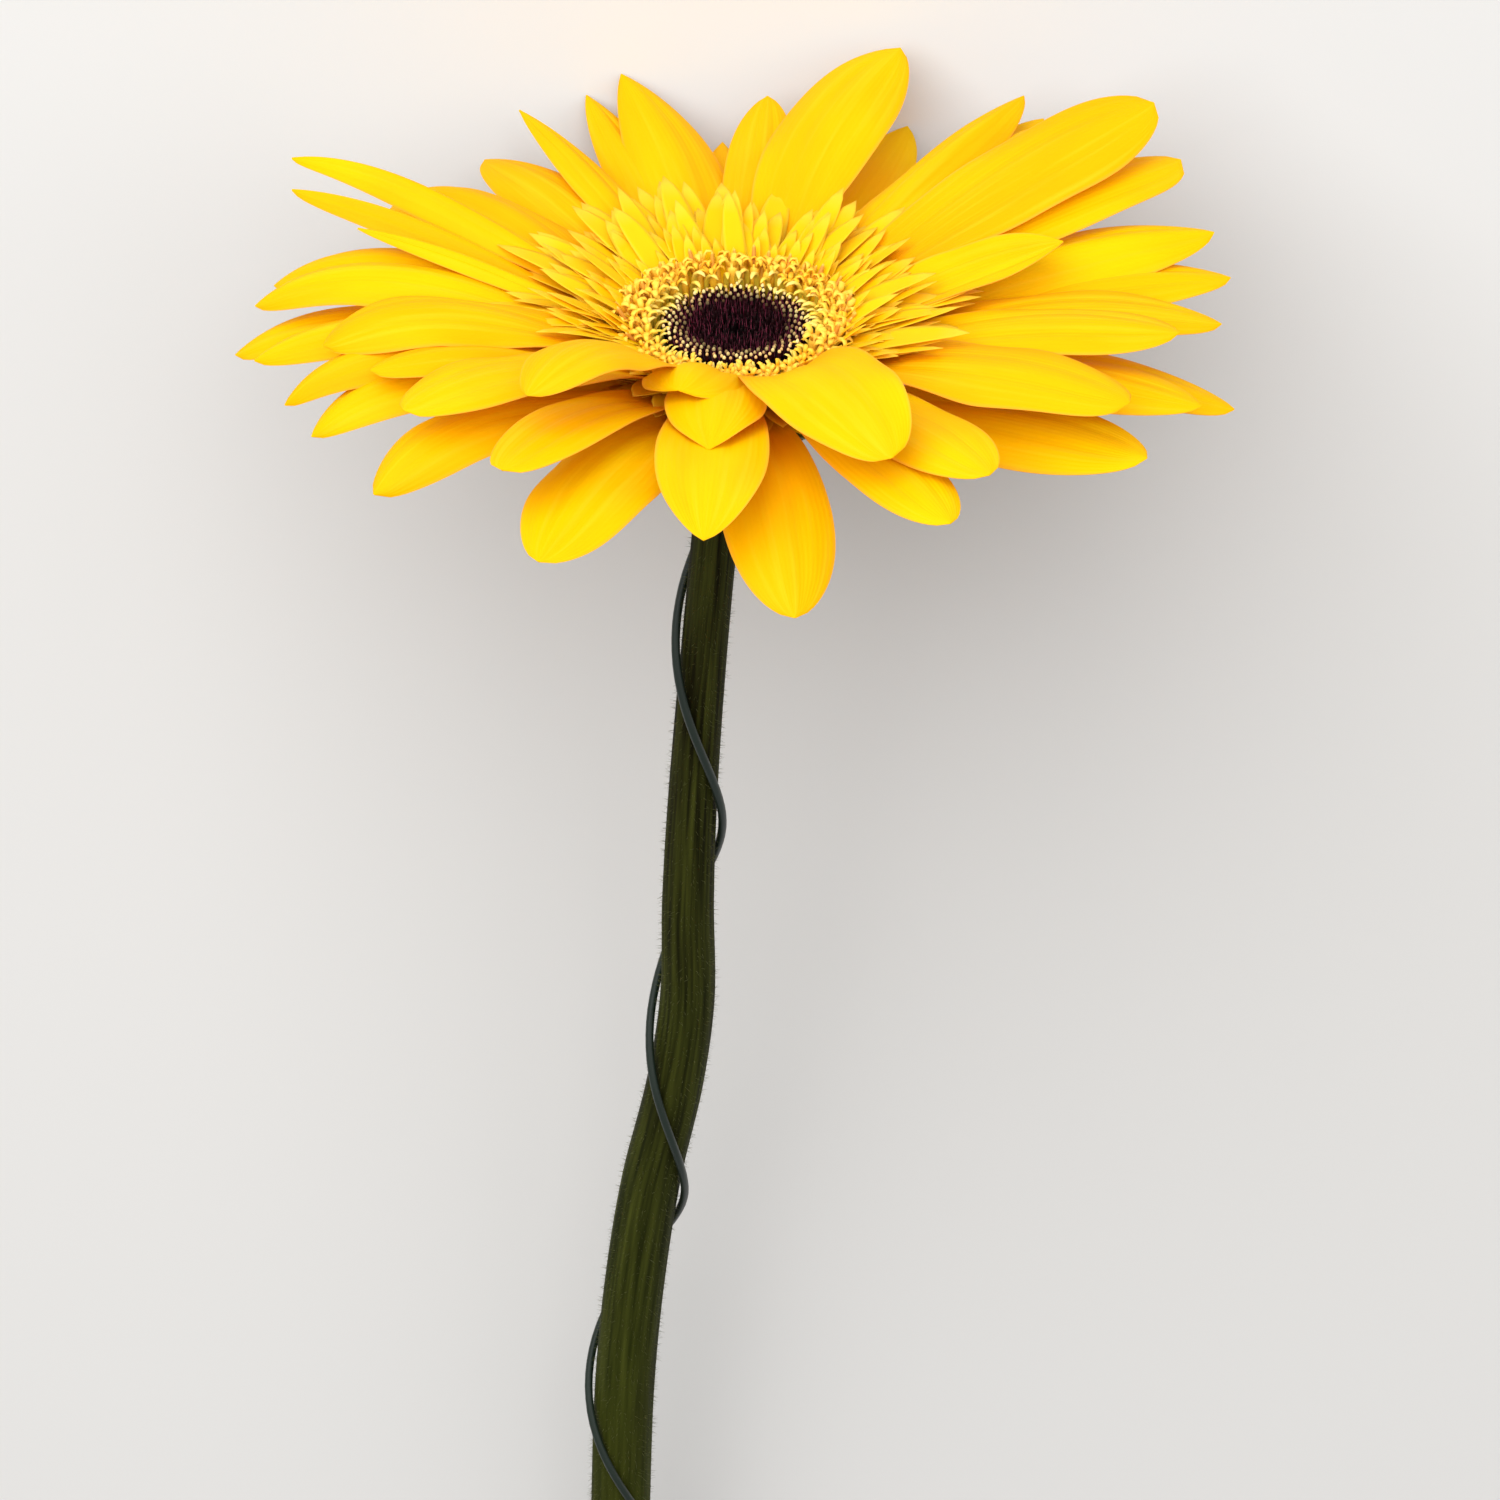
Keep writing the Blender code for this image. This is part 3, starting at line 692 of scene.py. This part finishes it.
def ray_half_width(along, width, widest_at, bluntness, claw_half):
    part = np.clip(along / widest_at, 0, 1) ** CLAW_FULLNESS
    claw = claw_half + (width / 2 - claw_half) * (0.3 * part + 0.7 * ease(part))
    tip = np.clip((along - widest_at) / (1 - widest_at), 0, 1)
    return np.where(along <= widest_at, claw, np.maximum(width / 2 * (1 - tip**2.4) ** bluntness, 0.1))


def ray_directions(along, heading, lift, arch, sweep, roll, late):
    rise = np.radians(lift + arch * (1 / (1 + late) - along**late))
    turn = np.radians(heading + sweep * (0.5 - along))
    forward = np.stack((np.cos(rise) * np.cos(turn), np.cos(rise) * np.sin(turn), np.sin(rise)), axis=-1)
    side = np.stack((-np.sin(turn), np.cos(turn), 0 * turn), axis=-1)
    up = np.cross(forward, side)
    tilt = (np.radians(roll) * along)[..., None]
    return forward, side * np.cos(tilt) + up * np.sin(tilt), up * np.cos(tilt) - side * np.sin(tilt)


def ray_floret(name, seat_height, row, habit, claw_half, seed):
    """One petal: its rib's curve, then the blade across it with two soft grooves and a wavy margin."""
    seat, heading, length, width, lift, arch, sweep, roll = (*row, 0, 0)[:8]
    widest_at, edges, late, fold, bluntness = habit
    chance = np.random.default_rng(seed)
    shape = (heading, lift, arch, sweep, roll + 3 * chance.normal(), late)
    first_side, first_up = ray_directions(np.zeros(1), *shape)[1:]
    outward = compass(1.0, seat)
    reach = CLAW_ACROSS * abs(first_side[0] @ outward) + CLAW_UP * abs(first_up[0] @ outward)
    along = np.linspace(0, 1, RAY_STEPS + 1)
    middles = (along[1:] + along[:-1]) / 2
    steps = np.cumsum(ray_directions(middles, *shape)[0] * length / RAY_STEPS, axis=0)
    rib = compass(RIM_RADIUS + RAY_GAP + reach, seat, seat_height) + np.concatenate((np.zeros((1, 3)), steps))
    side, up = ray_directions(along, *shape)[1:]
    along = along[:, None]
    across = np.linspace(-1, 1, RAY_STRIPS + 1)
    half = ray_half_width(along, width, widest_at, bluntness, min(claw_half, 0.3 * width))
    cup = 0.35 + (edges - 0.35) * ease(along / 0.6)
    blade_share = ease((along - 0.08) / 0.3) * (1 - ease((along - 0.82) / 0.18))
    grooves = np.zeros_like(across)
    for place in (-GROOVE_PLACE, GROOVE_PLACE):
        grooves += np.exp(-(((across - place - 0.05 * chance.normal()) / GROOVE_WIDTH) ** 2))
    wave_count, wave_start = chance.uniform(1.2, 2.2), chance.uniform(0, 1)
    waves = np.sin(2 * np.pi * (wave_count * along + wave_start + 0.15 * np.sign(across)))
    keel = np.sqrt(across**2 + 0.02) - math.sqrt(0.02)
    lift_off = (
        half * cup * across**2
        + half * fold * ease(along / 0.25) * keel
        - GROOVE_DEPTH * blade_share * grooves
        + WAVE_HEIGHT * waves * ease((along - 0.3) / 0.3) * np.abs(across) ** 3 * (half / 5)
    )
    middle = rib[:, None] + side[:, None] * (half * across)[..., None] + up[:, None] * lift_off[..., None]
    normal = np.cross(np.gradient(middle, axis=0), np.gradient(middle, axis=1))
    normal /= np.linalg.norm(normal, axis=-1)[..., None]
    wall = (MARGIN_THICKNESS + THICKER_IN_MIDDLE * (1 - np.abs(across) ** 2.5)) * (1 - 0.5 * along)
    vein = RIB_DEPTH * np.exp(-((across / 0.1) ** 2)) * (1 - along) ** 0.8
    upper = middle + normal * (wall / 2)[..., None]
    lower = middle - normal * (wall / 2 + vein)[..., None]
    grid = (2, RAY_STEPS + 1, RAY_STRIPS + 1)
    told = {"along": along, "edge": np.abs(across), "underside": [[[0.0]], [[1.0]]], "pick": chance.uniform()}
    told = {key: np.broadcast_to(values, grid) for key, values in told.items()}
    skin = np.stack((told["along"] * length, np.broadcast_to(across * width / 2, grid)), axis=-1)
    mesh = mesh_of(
        name, np.stack((upper, lower)).reshape(-1, 3), closed_sheet(RAY_STEPS, RAY_STRIPS), told,
        skin.reshape(-1, 2) + chance.uniform(0, 90),
    )
    mesh.set_sharp_from_angle(angle=math.radians(60))
    return mesh


# Fresh yellow petal: thin wet tissue full of yellow pigment. It is satin above, lets some light through,
# goes orange where the light has crossed it often, and has fine ribs 0.6 mm apart and a pale thin margin.
# Its deeper orange towards the claw and its duller underside are partly its own colour and partly painted
# shade.
petal_skin, tree, along, edge, underside, pick = new_material(
    "fresh_yellow_petal", "along", "edge", "underside", "pick"
)
skin_uv = add(tree, "ShaderNodeUVMap", uv_map="skin")
RIB_SPACING = 0.6
ribs = add(
    tree, "ShaderNodeTexWave",
    {"Vector": skin_uv, "Scale": 0.314 / RIB_SPACING, "Distortion": 1.2, "Detail": 2.0, "Detail Scale": 0.4},
    bands_direction="Y"
).outputs["Fac"]
veins = streaky(tree, skin_uv, (0.035, 0.9), 5.0)
patches = streaky(tree, skin_uv, (0.05, 0.12), 2.0)
petal_yellow = add(tree, "ShaderNodeMix", {0: pick, 6: "#ffcc00", 7: "#ffdc00"}, data_type="RGBA")
petal_colour_and_painted_shade = layered(tree, petal_yellow, (
    (patches, 0.35, 0.75, 0.0, 0.6, "LINEAR", "#ffb800"),
    (veins, 0.52, 0.72, 0.0, 0.45, "LINEAR", "#ffe22a"),
    # Deeper orange towards the claw: partly its own colour, partly painted shade where the petals crowd.
    (along, 0.05, 0.5, 0.42, 0.0, "SMOOTHSTEP", "#ff9a00"),
    # Duller, darker underside: partly its own tone, partly painted shade.
    (underside, 0.0, 1.0, 0.0, 0.7, "LINEAR", "#e3b41c"),
    (edge, 0.93, 1.0, 0.0, 0.5, "LINEAR", "#f5b04a"),
))
rib_height = add(tree, "ShaderNodeMath", {0: ribs, 1: 0.5}, operation="MULTIPLY")
relief = add(tree, "ShaderNodeMath", {0: rib_height, 1: veins}, operation="ADD")
petal_bump = add(tree, "ShaderNodeBump", {"Height": relief, "Strength": 0.28, "Distance": 0.00012})
petal_shader = add(
    tree, "ShaderNodeBsdfPrincipled",
    {"Base Color": petal_colour_and_painted_shade, "Roughness": 0.55, "Normal": petal_bump, "Specular IOR Level": 0.07}
)
through = add(tree, "ShaderNodeBsdfTranslucent", {"Color": "#ffc800", "Normal": petal_bump})
petal_mix = add(tree, "ShaderNodeMixShader", {0: 0.36, 1: petal_shader, 2: through})
add(tree, "ShaderNodeOutputMaterial", {"Surface": petal_mix})

number = 0
for seat_height, rows in RAY_ROWS:
    for row in rows:
        number += 1
        habit = RAY_HABITS.get(number, PLAIN_HABIT)
        claw_half = BROAD_CLAW_HALF if number in BROAD_CLAWS else CLAW_HALF
        blade_mesh = ray_floret(f"petal_{number:02d}", seat_height, row, habit, claw_half, number)
        petal = placed(f"petal_{number:02d}", blade_mesh, petal_skin)
        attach(petal, "root")
        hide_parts(f"ray_floret_{number:02d}")

# ----------------------------------------------------------------------
# The trans florets: three whorls of short narrow petals between the rays and the disc, in a dense brush.
# Each is soft, pointed and channelled. Shorter and broader ones stand round the rim between the rays'
# claws, and one has grown as broad as a ray. They are rooted in the receptacle, as all florets are.

# Young petal tissue: as the rays', but paler at the edge and tip, and it lets more light through.
trans_skin, tree, along, edge, pick = new_material("young_yellow_petal", "along", "edge", "pick")
trans_yellow = add(tree, "ShaderNodeMix", {0: pick, 6: "#ffd200", 7: "#ffde12"}, data_type="RGBA")
footed = layered(tree, trans_yellow, ((along, 0.0, 0.6, 0.4, 0.0, "LINEAR", "#ffc800"),))
pale_edge, pale_tip = (
    add(tree, "ShaderNodeMapRange", {"Value": pattern, "From Min": low, "From Max": 1.0, "To Max": share})
    for pattern, low, share in ((edge, 0.75, 0.3), (along, 0.78, 0.5))
)
pale = add(tree, "ShaderNodeMath", {0: pale_edge, 1: pale_tip}, operation="MAXIMUM")
trans_colour = add(tree, "ShaderNodeMix", {0: pale, 6: footed, 7: "#ffe662"}, data_type="RGBA")
trans_shader = add(
    tree, "ShaderNodeBsdfPrincipled",
    {"Base Color": trans_colour, "Roughness": 0.5, "Specular IOR Level": 0.1}
)
through = add(tree, "ShaderNodeBsdfTranslucent", {"Color": "#ffdc20"})
trans_mix = add(tree, "ShaderNodeMixShader", {0: 0.42, 1: trans_shader, 2: through})
add(tree, "ShaderNodeOutputMaterial", {"Surface": trans_mix})


def strap(share):
    """A short petal with nearly straight sides and a sharp tip."""
    return (0.5 + 0.5 * ease(share / 0.45)) * (1 - np.clip((share - 0.5) / 0.5, 0, 1) ** 2.1) ** 0.75


# whorl, count, foot radii, lean, length, width, bend, share of its size at the front, further lean there
TRANS_ROWS = (
    ("trans_florets_outer", 66, (10.1, 10.9), 29, 17.5, 3.5, 22, 0.45, 8),
    ("trans_florets_outer", 62, (9.9, 10.8), 26, 16.4, 2.8, 6, 0.42, 8),
    ("trans_florets_middle", 70, (9.2, 10.2), 35, 14.2, 2.9, 26, 0.45, 4),
    ("trans_florets_middle", 68, (9.0, 10.0), 32, 12.8, 2.4, 4, 0.45, 4),
    ("trans_florets_inner", 76, (8.9, 10.2), 44, 10.4, 1.9, 30, 0.5, 0),
    ("trans_florets_inner", 88, (9.2, 10.6), 46, 7.6, 1.6, 8, 0.5, 0),
)
TRANS_HEIGHT = -1.5
for number, facts in enumerate(TRANS_ROWS):
    name, count, radii, lean_up, length, width, bend, front_reach, front_lean = facts
    pattern = blade(
        "trans floret", length, width, strap, bend=bend, fold=0.1, thickness=0.24, steps=10, strips=6
    )
    half_row = ("broad", "slim")[number % 2]
    row = whorl(
        f"{name}_{half_row}", pattern, trans_skin, radii, (TRANS_HEIGHT, TRANS_HEIGHT),
        (lean_up + 3, lean_up - 3), count, (0.66, 1.1), (5.0, 0.26), start=0.7 * number,
        seed=30 + number, front_reach=front_reach, front_lean=front_lean,
    )
    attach(row, "root")
    if half_row == "broad":
        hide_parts(name)

# The one as broad as a ray stands up on the side that faces up, and arches over the ray outside it.
HOOD_ROW = (256, 253, 15, 11, 30, 95)
HOOD_HABIT = (0.55, -0.5, 1.0, 0.0, 0.5)
HOOD_SEED = 61
hood_mesh = ray_floret("hood", TRANS_HEIGHT, HOOD_ROW, HOOD_HABIT, BROAD_CLAW_HALF, HOOD_SEED)
hood = placed("trans_florets_hood", hood_mesh, petal_skin)
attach(hood, "root")

# Broad short ones stand between the claws of the rays.
broad_pattern = blade(
    "broad floret", 8.6, 4.6, strap, bend=24, fold=0.22, thickness=0.26, steps=10, strips=6
)
broad = whorl(
    "trans_florets_broad", broad_pattern, trans_skin, (10.9, 11.4), (-1.6, -1.6), (27, 25), 40,
    (0.8, 1.05), (4.0, 0.18), start=0.4, seed=37, front_reach=0.5, front_lean=4,
)
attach(broad, "root")

# Short ones fill the rim between the claws all the way round.
rim_pattern = blade("rim floret", 7.0, 3.6, strap, bend=15, fold=0.3, thickness=0.26)
rim = whorl(
    "trans_florets_rim", rim_pattern, trans_skin, (10.9, 11.3), (-5.8, -2.2), (14, 34), 84,
    (0.8, 1.1), (5.0, 0.2), start=0.9, seed=38,
)
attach(rim, "root")

# ----------------------------------------------------------------------
# The open disc florets: little golden-cream tubes whose lobes have curled back, crowded in a narrow ring
# round the disc. Half as many slim columns of orange-brown anthers stand out of their mouths.


def joined(name, shapes):
    """One pattern object from several closed shapes, each of points, faces and how far along it they are."""
    starts = np.cumsum([0] + [len(points) for points, faces, along in shapes])
    faces = [np.array(face) + start for start, shape in zip(starts, shapes) for face in shape[1]]
    points, along = (np.concatenate([shape[part] for shape in shapes]) for part in (0, 2))
    return bpy.data.objects.new(name, mesh_of(name, points, faces, {"along": along}))


def stem_shape(line, radii, sides=6, flat=1.0, along=(0.0, 1.0)):
    """A closed tapering tube along a line of X and Z. flat squeezes it across."""
    line = np.array([(x, 0.0, z) for x, z in line])
    ahead = np.gradient(line, axis=0)
    ahead /= np.linalg.norm(ahead, axis=1)[:, None]
    level = np.array([0.0, 1.0, 0.0])
    above = np.cross(ahead, level)[:, None]
    turn = (2 * np.pi * np.arange(sides) / sides)[:, None]
    ring = np.cos(turn) * level + flat * np.sin(turn) * above
    points, faces = loft(line[:, None] - np.array(radii)[:, None, None] * ring)
    share = np.repeat(np.linspace(*along, len(line)), sides)
    return points, faces, np.concatenate((share, along))


def about_x(points, degrees):
    """Turns points about the X axis, along which a pattern grows."""
    cosine, sine = math.cos(math.radians(degrees)), math.sin(math.radians(degrees))
    x, y, z = points.T
    return np.stack((x, y * cosine - z * sine, y * sine + z * cosine), axis=1)


def floret_skin(name, foot, tones, change, roughness, specular):
    """Waxy floret tissue: one colour at the foot, and by chance one of a range of tones further along."""
    skin, tree, along, pick = new_material(name, "along", "pick")
    tone = add(tree, "ShaderNodeMix", {0: pick, 6: tones[0], 7: tones[1]}, data_type="RGBA")
    colour = layered(tree, foot, ((along, *change, 0.0, 1.0, "LINEAR", tone),))
    shader = add(
        tree, "ShaderNodeBsdfPrincipled",
        {"Base Color": colour, "Roughness": roughness, "Specular IOR Level": specular}
    )
    add(tree, "ShaderNodeOutputMaterial", {"Surface": shader})
    return skin


LOBE_LINE = ((2.3, 0.4), (2.85, 0.62), (3.15, 1.0), (3.0, 1.38), (2.6, 1.45))
LOBE_RADII = (0.2, 0.32, 0.32, 0.24, 0.08)
corolla_parts = [stem_shape(((0, 0), (1.0, 0), (2.0, 0), (2.6, 0)), (0.3, 0.42, 0.55, 0.5))]
for lobe_turn in (0, 70, 140, 220, 290):
    points, faces, along = stem_shape(LOBE_LINE, LOBE_RADII, flat=0.45, along=(0.5, 1.0))
    corolla_parts.append((about_x(points, 180 + lobe_turn), faces, along))
corolla = joined("corolla", corolla_parts)
ANTHER_LINE = ((1.6, 0), (2.8, 0), (3.9, 0.05), (4.5, 0.1), (4.8, 0.14))
anther = joined("anthers", [stem_shape(ANTHER_LINE, (0.2, 0.27, 0.26, 0.2, 0.08), sides=8)])

# Waxy corolla tissue: golden down the tube, and paler and creamier at the curled lobes.
corolla_skin = floret_skin("cream_corolla", "#eeb01a", ("#f6ba20", "#facc48"), (0.3, 0.75), 0.5, 0.3)

# Dry pollen-dusted anthers: matte and orange-brown with a paler tip.
anther_skin, tree, along, pick = new_material("orange_brown_anther", "along", "pick")
anther_body = add(tree, "ShaderNodeMix", {0: pick, 6: "#e0a01a", 7: "#c88426"}, data_type="RGBA")
anther_colour = layered(tree, anther_body, ((along, 0.7, 1.0, 0.0, 0.7, "LINEAR", "#f9cf50"),))
anther_shader = add(tree, "ShaderNodeBsdfPrincipled", {"Base Color": anther_colour, "Roughness": 0.7})
add(tree, "ShaderNodeOutputMaterial", {"Surface": anther_shader})

corollas = whorl(
    "open_corollas", corolla, corolla_skin, (9.3, 10.9), (-1.3, -0.7), (74, 48), 80, (1.0, 1.3),
    (9.0, 0.5), seed=41, front_reach=0.66, front_lean=-5,
)
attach(corollas, "root")
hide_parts("disc_florets_open")
anthers = whorl(
    "open_anthers", anther, anther_skin, (9.9, 10.9), (-1.0, -0.8), (66, 54), 40, (0.78, 1.0),
    (9.0, 0.2), seed=43, front_reach=0.62, front_lean=-5,
)
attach(anthers, "root")

# ----------------------------------------------------------------------
# The opening disc florets: pale yellow claws that still arch in over the dark middle, in two rings.
# They are the next florets to open, stiff and waxy, and the inner ring is the younger and smaller.

CLAW_LINE = ((0, -0.3), (1.2, -0.35), (2.2, -0.2), (2.8, 0.2), (3.05, 0.75), (2.95, 1.3), (2.7, 1.6))
CLAW_RADII = (0.25, 0.34, 0.38, 0.37, 0.32, 0.22, 0.08)
claw = joined("claw", [stem_shape(CLAW_LINE, CLAW_RADII, sides=8, flat=0.6)])
# Waxy closed floret: greener at the foot, and pale at its arching head.
claw_skin = floret_skin("lime_closed_floret", "#d8b830", ("#ecc832", "#f4d870"), (0.35, 0.75), 0.4, 0.5)
claws = whorl(
    "opening_claws", claw, claw_skin, (9.0, 9.6), (-1.5, -1.2), (84, 74), 52, (0.9, 1.1), (6.0, 0.3),
    0.3, 44, front_reach=0.62, front_lean=-10,
)
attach(claws, "root")
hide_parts("disc_florets_opening")
young_claws = whorl(
    "opening_claws_young", claw, claw_skin, (8.3, 8.9), (-1.4, -1.3), (90, 84), 54, (0.6, 0.82),
    (6.0, 0.3), 0.9, 45, front_reach=0.7, front_lean=-10,
)
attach(young_claws, "root")

# ----------------------------------------------------------------------
# The buds: the dark middle of the disc, a sunken dome of tight burgundy buds in crossing spirals.
# The outer ones show cream tips, and fine burgundy pappus bristles stand between them.

# Tight bud tissue: almost black in the middle of the disc, burgundy further out, and matte.
bud_skin, tree, along, outness, pick = new_material("burgundy_bud", "along", "outness", "pick")
tip_here = add(tree, "ShaderNodeMapRange", {"Value": along, "From Min": 0.5, "From Max": 0.62})
ripe = add(tree, "ShaderNodeMapRange", {"Value": outness, "From Min": 0.4, "From Max": 0.85})
tip_share = add(tree, "ShaderNodeMath", {0: tip_here, 1: ripe}, operation="MULTIPLY")
tip_tone = add(tree, "ShaderNodeMix", {0: pick, 6: "#e0b070", 7: "#f8e49a"}, data_type="RGBA")
bud_body = add(tree, "ShaderNodeMix", {0: outness, 6: "#0a0102", 7: "#2b040b"}, data_type="RGBA")
bud_colour = add(tree, "ShaderNodeMix", {0: tip_share, 6: bud_body, 7: tip_tone}, data_type="RGBA")
bud_shader = add(
    tree, "ShaderNodeBsdfPrincipled",
    {"Base Color": bud_colour, "Roughness": 0.7, "Specular IOR Level": 0.08}
)
add(tree, "ShaderNodeOutputMaterial", {"Surface": bud_shader})

# radius and height of the dome's outline
DOME = ((0.01, -1.6), (7.4, -1.6), (8.1, -0.8), (7.2, -0.2), (4.9, -0.6), (2.8, -1.2), (0.01, -1.5))
DOME_SIDES = 48
turn = np.arange(DOME_SIDES) * 360 / DOME_SIDES
points, faces = loft(np.array([compass(radius, turn, height) for radius, height in DOME]))
middle_of_disc = {key: np.zeros(len(points)) for key in ("along", "outness", "pick")}
dome_mesh = mesh_of("bud_dome", points, faces, middle_of_disc)
dome = placed("bud_dome", dome_mesh, bud_skin)
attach(dome, "root")
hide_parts("disc_buds")

BUD_LINE = ((0, 0), (0.5, 0), (0.9, 0), (1.12, 0), (1.3, 0), (1.42, 0))
bud = joined("bud", [stem_shape(BUD_LINE, (0.24, 0.26, 0.17, 0.2, 0.17, 0.04), sides=7)])
buds = whorl(
    "buds", bud, bud_skin, (0.5, 8.25), (-1.5, -0.35), (90, 86), 345, (0.85, 1.05), (4.0, 0.1), seed=51
)
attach(buds, "root")

# Pappus: fine stiff bristles with a slight sheen, drawn 0.1 mm thick so that they show. By chance each is
# dark burgundy or a paler pink burgundy, partly its own tone and partly painted highlight.
pappus_skin, tree, pick = new_material("burgundy_pappus", "pick")
pappus_colour_and_painted_highlight = add(tree, "ShaderNodeMix", {0: pick, 6: "#2a0410", 7: "#7c1f3c"}, data_type="RGBA")
pappus_shader = add(
    tree, "ShaderNodeBsdfPrincipled",
    {"Base Color": pappus_colour_and_painted_highlight, "Roughness": 0.5, "Specular IOR Level": 0.3}
)
add(tree, "ShaderNodeOutputMaterial", {"Surface": pappus_shader})
BRISTLE_LENGTH = 1.75
BRISTLE_THICKNESS = 0.1
pappus = whorl(
    "pappus_bristles", needle("bristle", BRISTLE_LENGTH, BRISTLE_THICKNESS), pappus_skin, (1.2, 8.0),
    (-1.3, -0.4), (90, 84), 860, (0.7, 1.1), (20.0, 0.5), 1.1, 61
)
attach(pappus, "root")

# ----------------------------------------------------------------------
# The studio: a pale matte tabletop, a big soft light over the face of the flower and a weak fill.

# Matte painted board: pale grey, hardly mottled, with no gloss.
table_top, tree = new_material("matte_pale_board")
board_colour = mottled(tree, ("#cfcdc9", "#d6d4d1"), 3.0)[1]
board_shader = add(tree, "ShaderNodeBsdfPrincipled", {"Base Color": board_colour, "Roughness": 0.9})
add(tree, "ShaderNodeOutputMaterial", {"Surface": board_shader})
FLOOR_HALF = 4.0
floor_mesh = bpy.data.meshes.new("floor")
corners = [(x * FLOOR_HALF, y * FLOOR_HALF, 0.0) for x, y in ((-1, -1), (1, -1), (1, 1), (-1, 1))]
floor_mesh.from_pydata(corners, [], [(0, 1, 2, 3)])
floor_mesh.materials.append(table_top)
floor = bpy.data.objects.new("floor", floor_mesh)
bpy.context.scene.collection.objects.link(floor)

scene = bpy.context.scene
world = bpy.data.worlds.new("soft_room")
scene.world = world
world.use_nodes = True
room_light = world.node_tree.nodes["Background"].inputs
room_light["Color"].default_value = linear("#f2f4f8")
room_light["Strength"].default_value = 0.42

HEAD = HEAD_PLACE * MILLIMETRE
# name, direction from the head, distance, size, power
LIGHTS = (
    ("key", (-0.4, 0.85, 0.9), 1.2, 1.5, 26.0),
    ("fill", (0.8, 0.5, 0.9), 1.4, 1.4, 7.0),
)
for name, direction, distance, size, power in LIGHTS:
    lamp = bpy.data.lights.new(name, "AREA")
    lamp.size = size
    lamp.energy = power
    holder = bpy.data.objects.new(name, lamp)
    holder.location = HEAD + Vector(direction).normalized() * distance
    holder.rotation_euler = (-Vector(direction)).to_track_quat("-Z", "Y").to_euler()
    scene.collection.objects.link(holder)

# The camera looks down on the flower from where its face is seen about 34 degrees above the petals' plane.
VIEW_ABOVE_PETALS = math.radians(34.4)
VIEW_DISTANCE = 600.0
LENS = 131.0
AIM_ASIDE = 1.4
AIM_BELOW = 46.5
above, ahead = math.sin(VIEW_ABOVE_PETALS), math.cos(VIEW_ABOVE_PETALS)
aim = Vector((AIM_ASIDE, -AIM_BELOW * above, -AIM_BELOW * ahead))
back = Vector((0.0, -ahead, above))
place = FLOWER_TO_ROW @ (aim + back * VIEW_DISTANCE)
turn_only = FLOWER_TO_ROW.to_3x3().normalized()
z_axis = (turn_only @ back).normalized()
x_axis = Vector((1.0, 0.0, 0.0))
y_axis = z_axis.cross(x_axis).normalized()
camera_data = bpy.data.cameras.new("camera")
camera_data.lens = LENS
camera_data.clip_start = 0.01
camera = bpy.data.objects.new("camera", camera_data)
camera.matrix_world = Matrix.Translation(place) @ Matrix((x_axis, y_axis, z_axis)).transposed().to_4x4()
scene.collection.objects.link(camera)
scene.camera = camera
scene.view_settings.view_transform = "Standard"
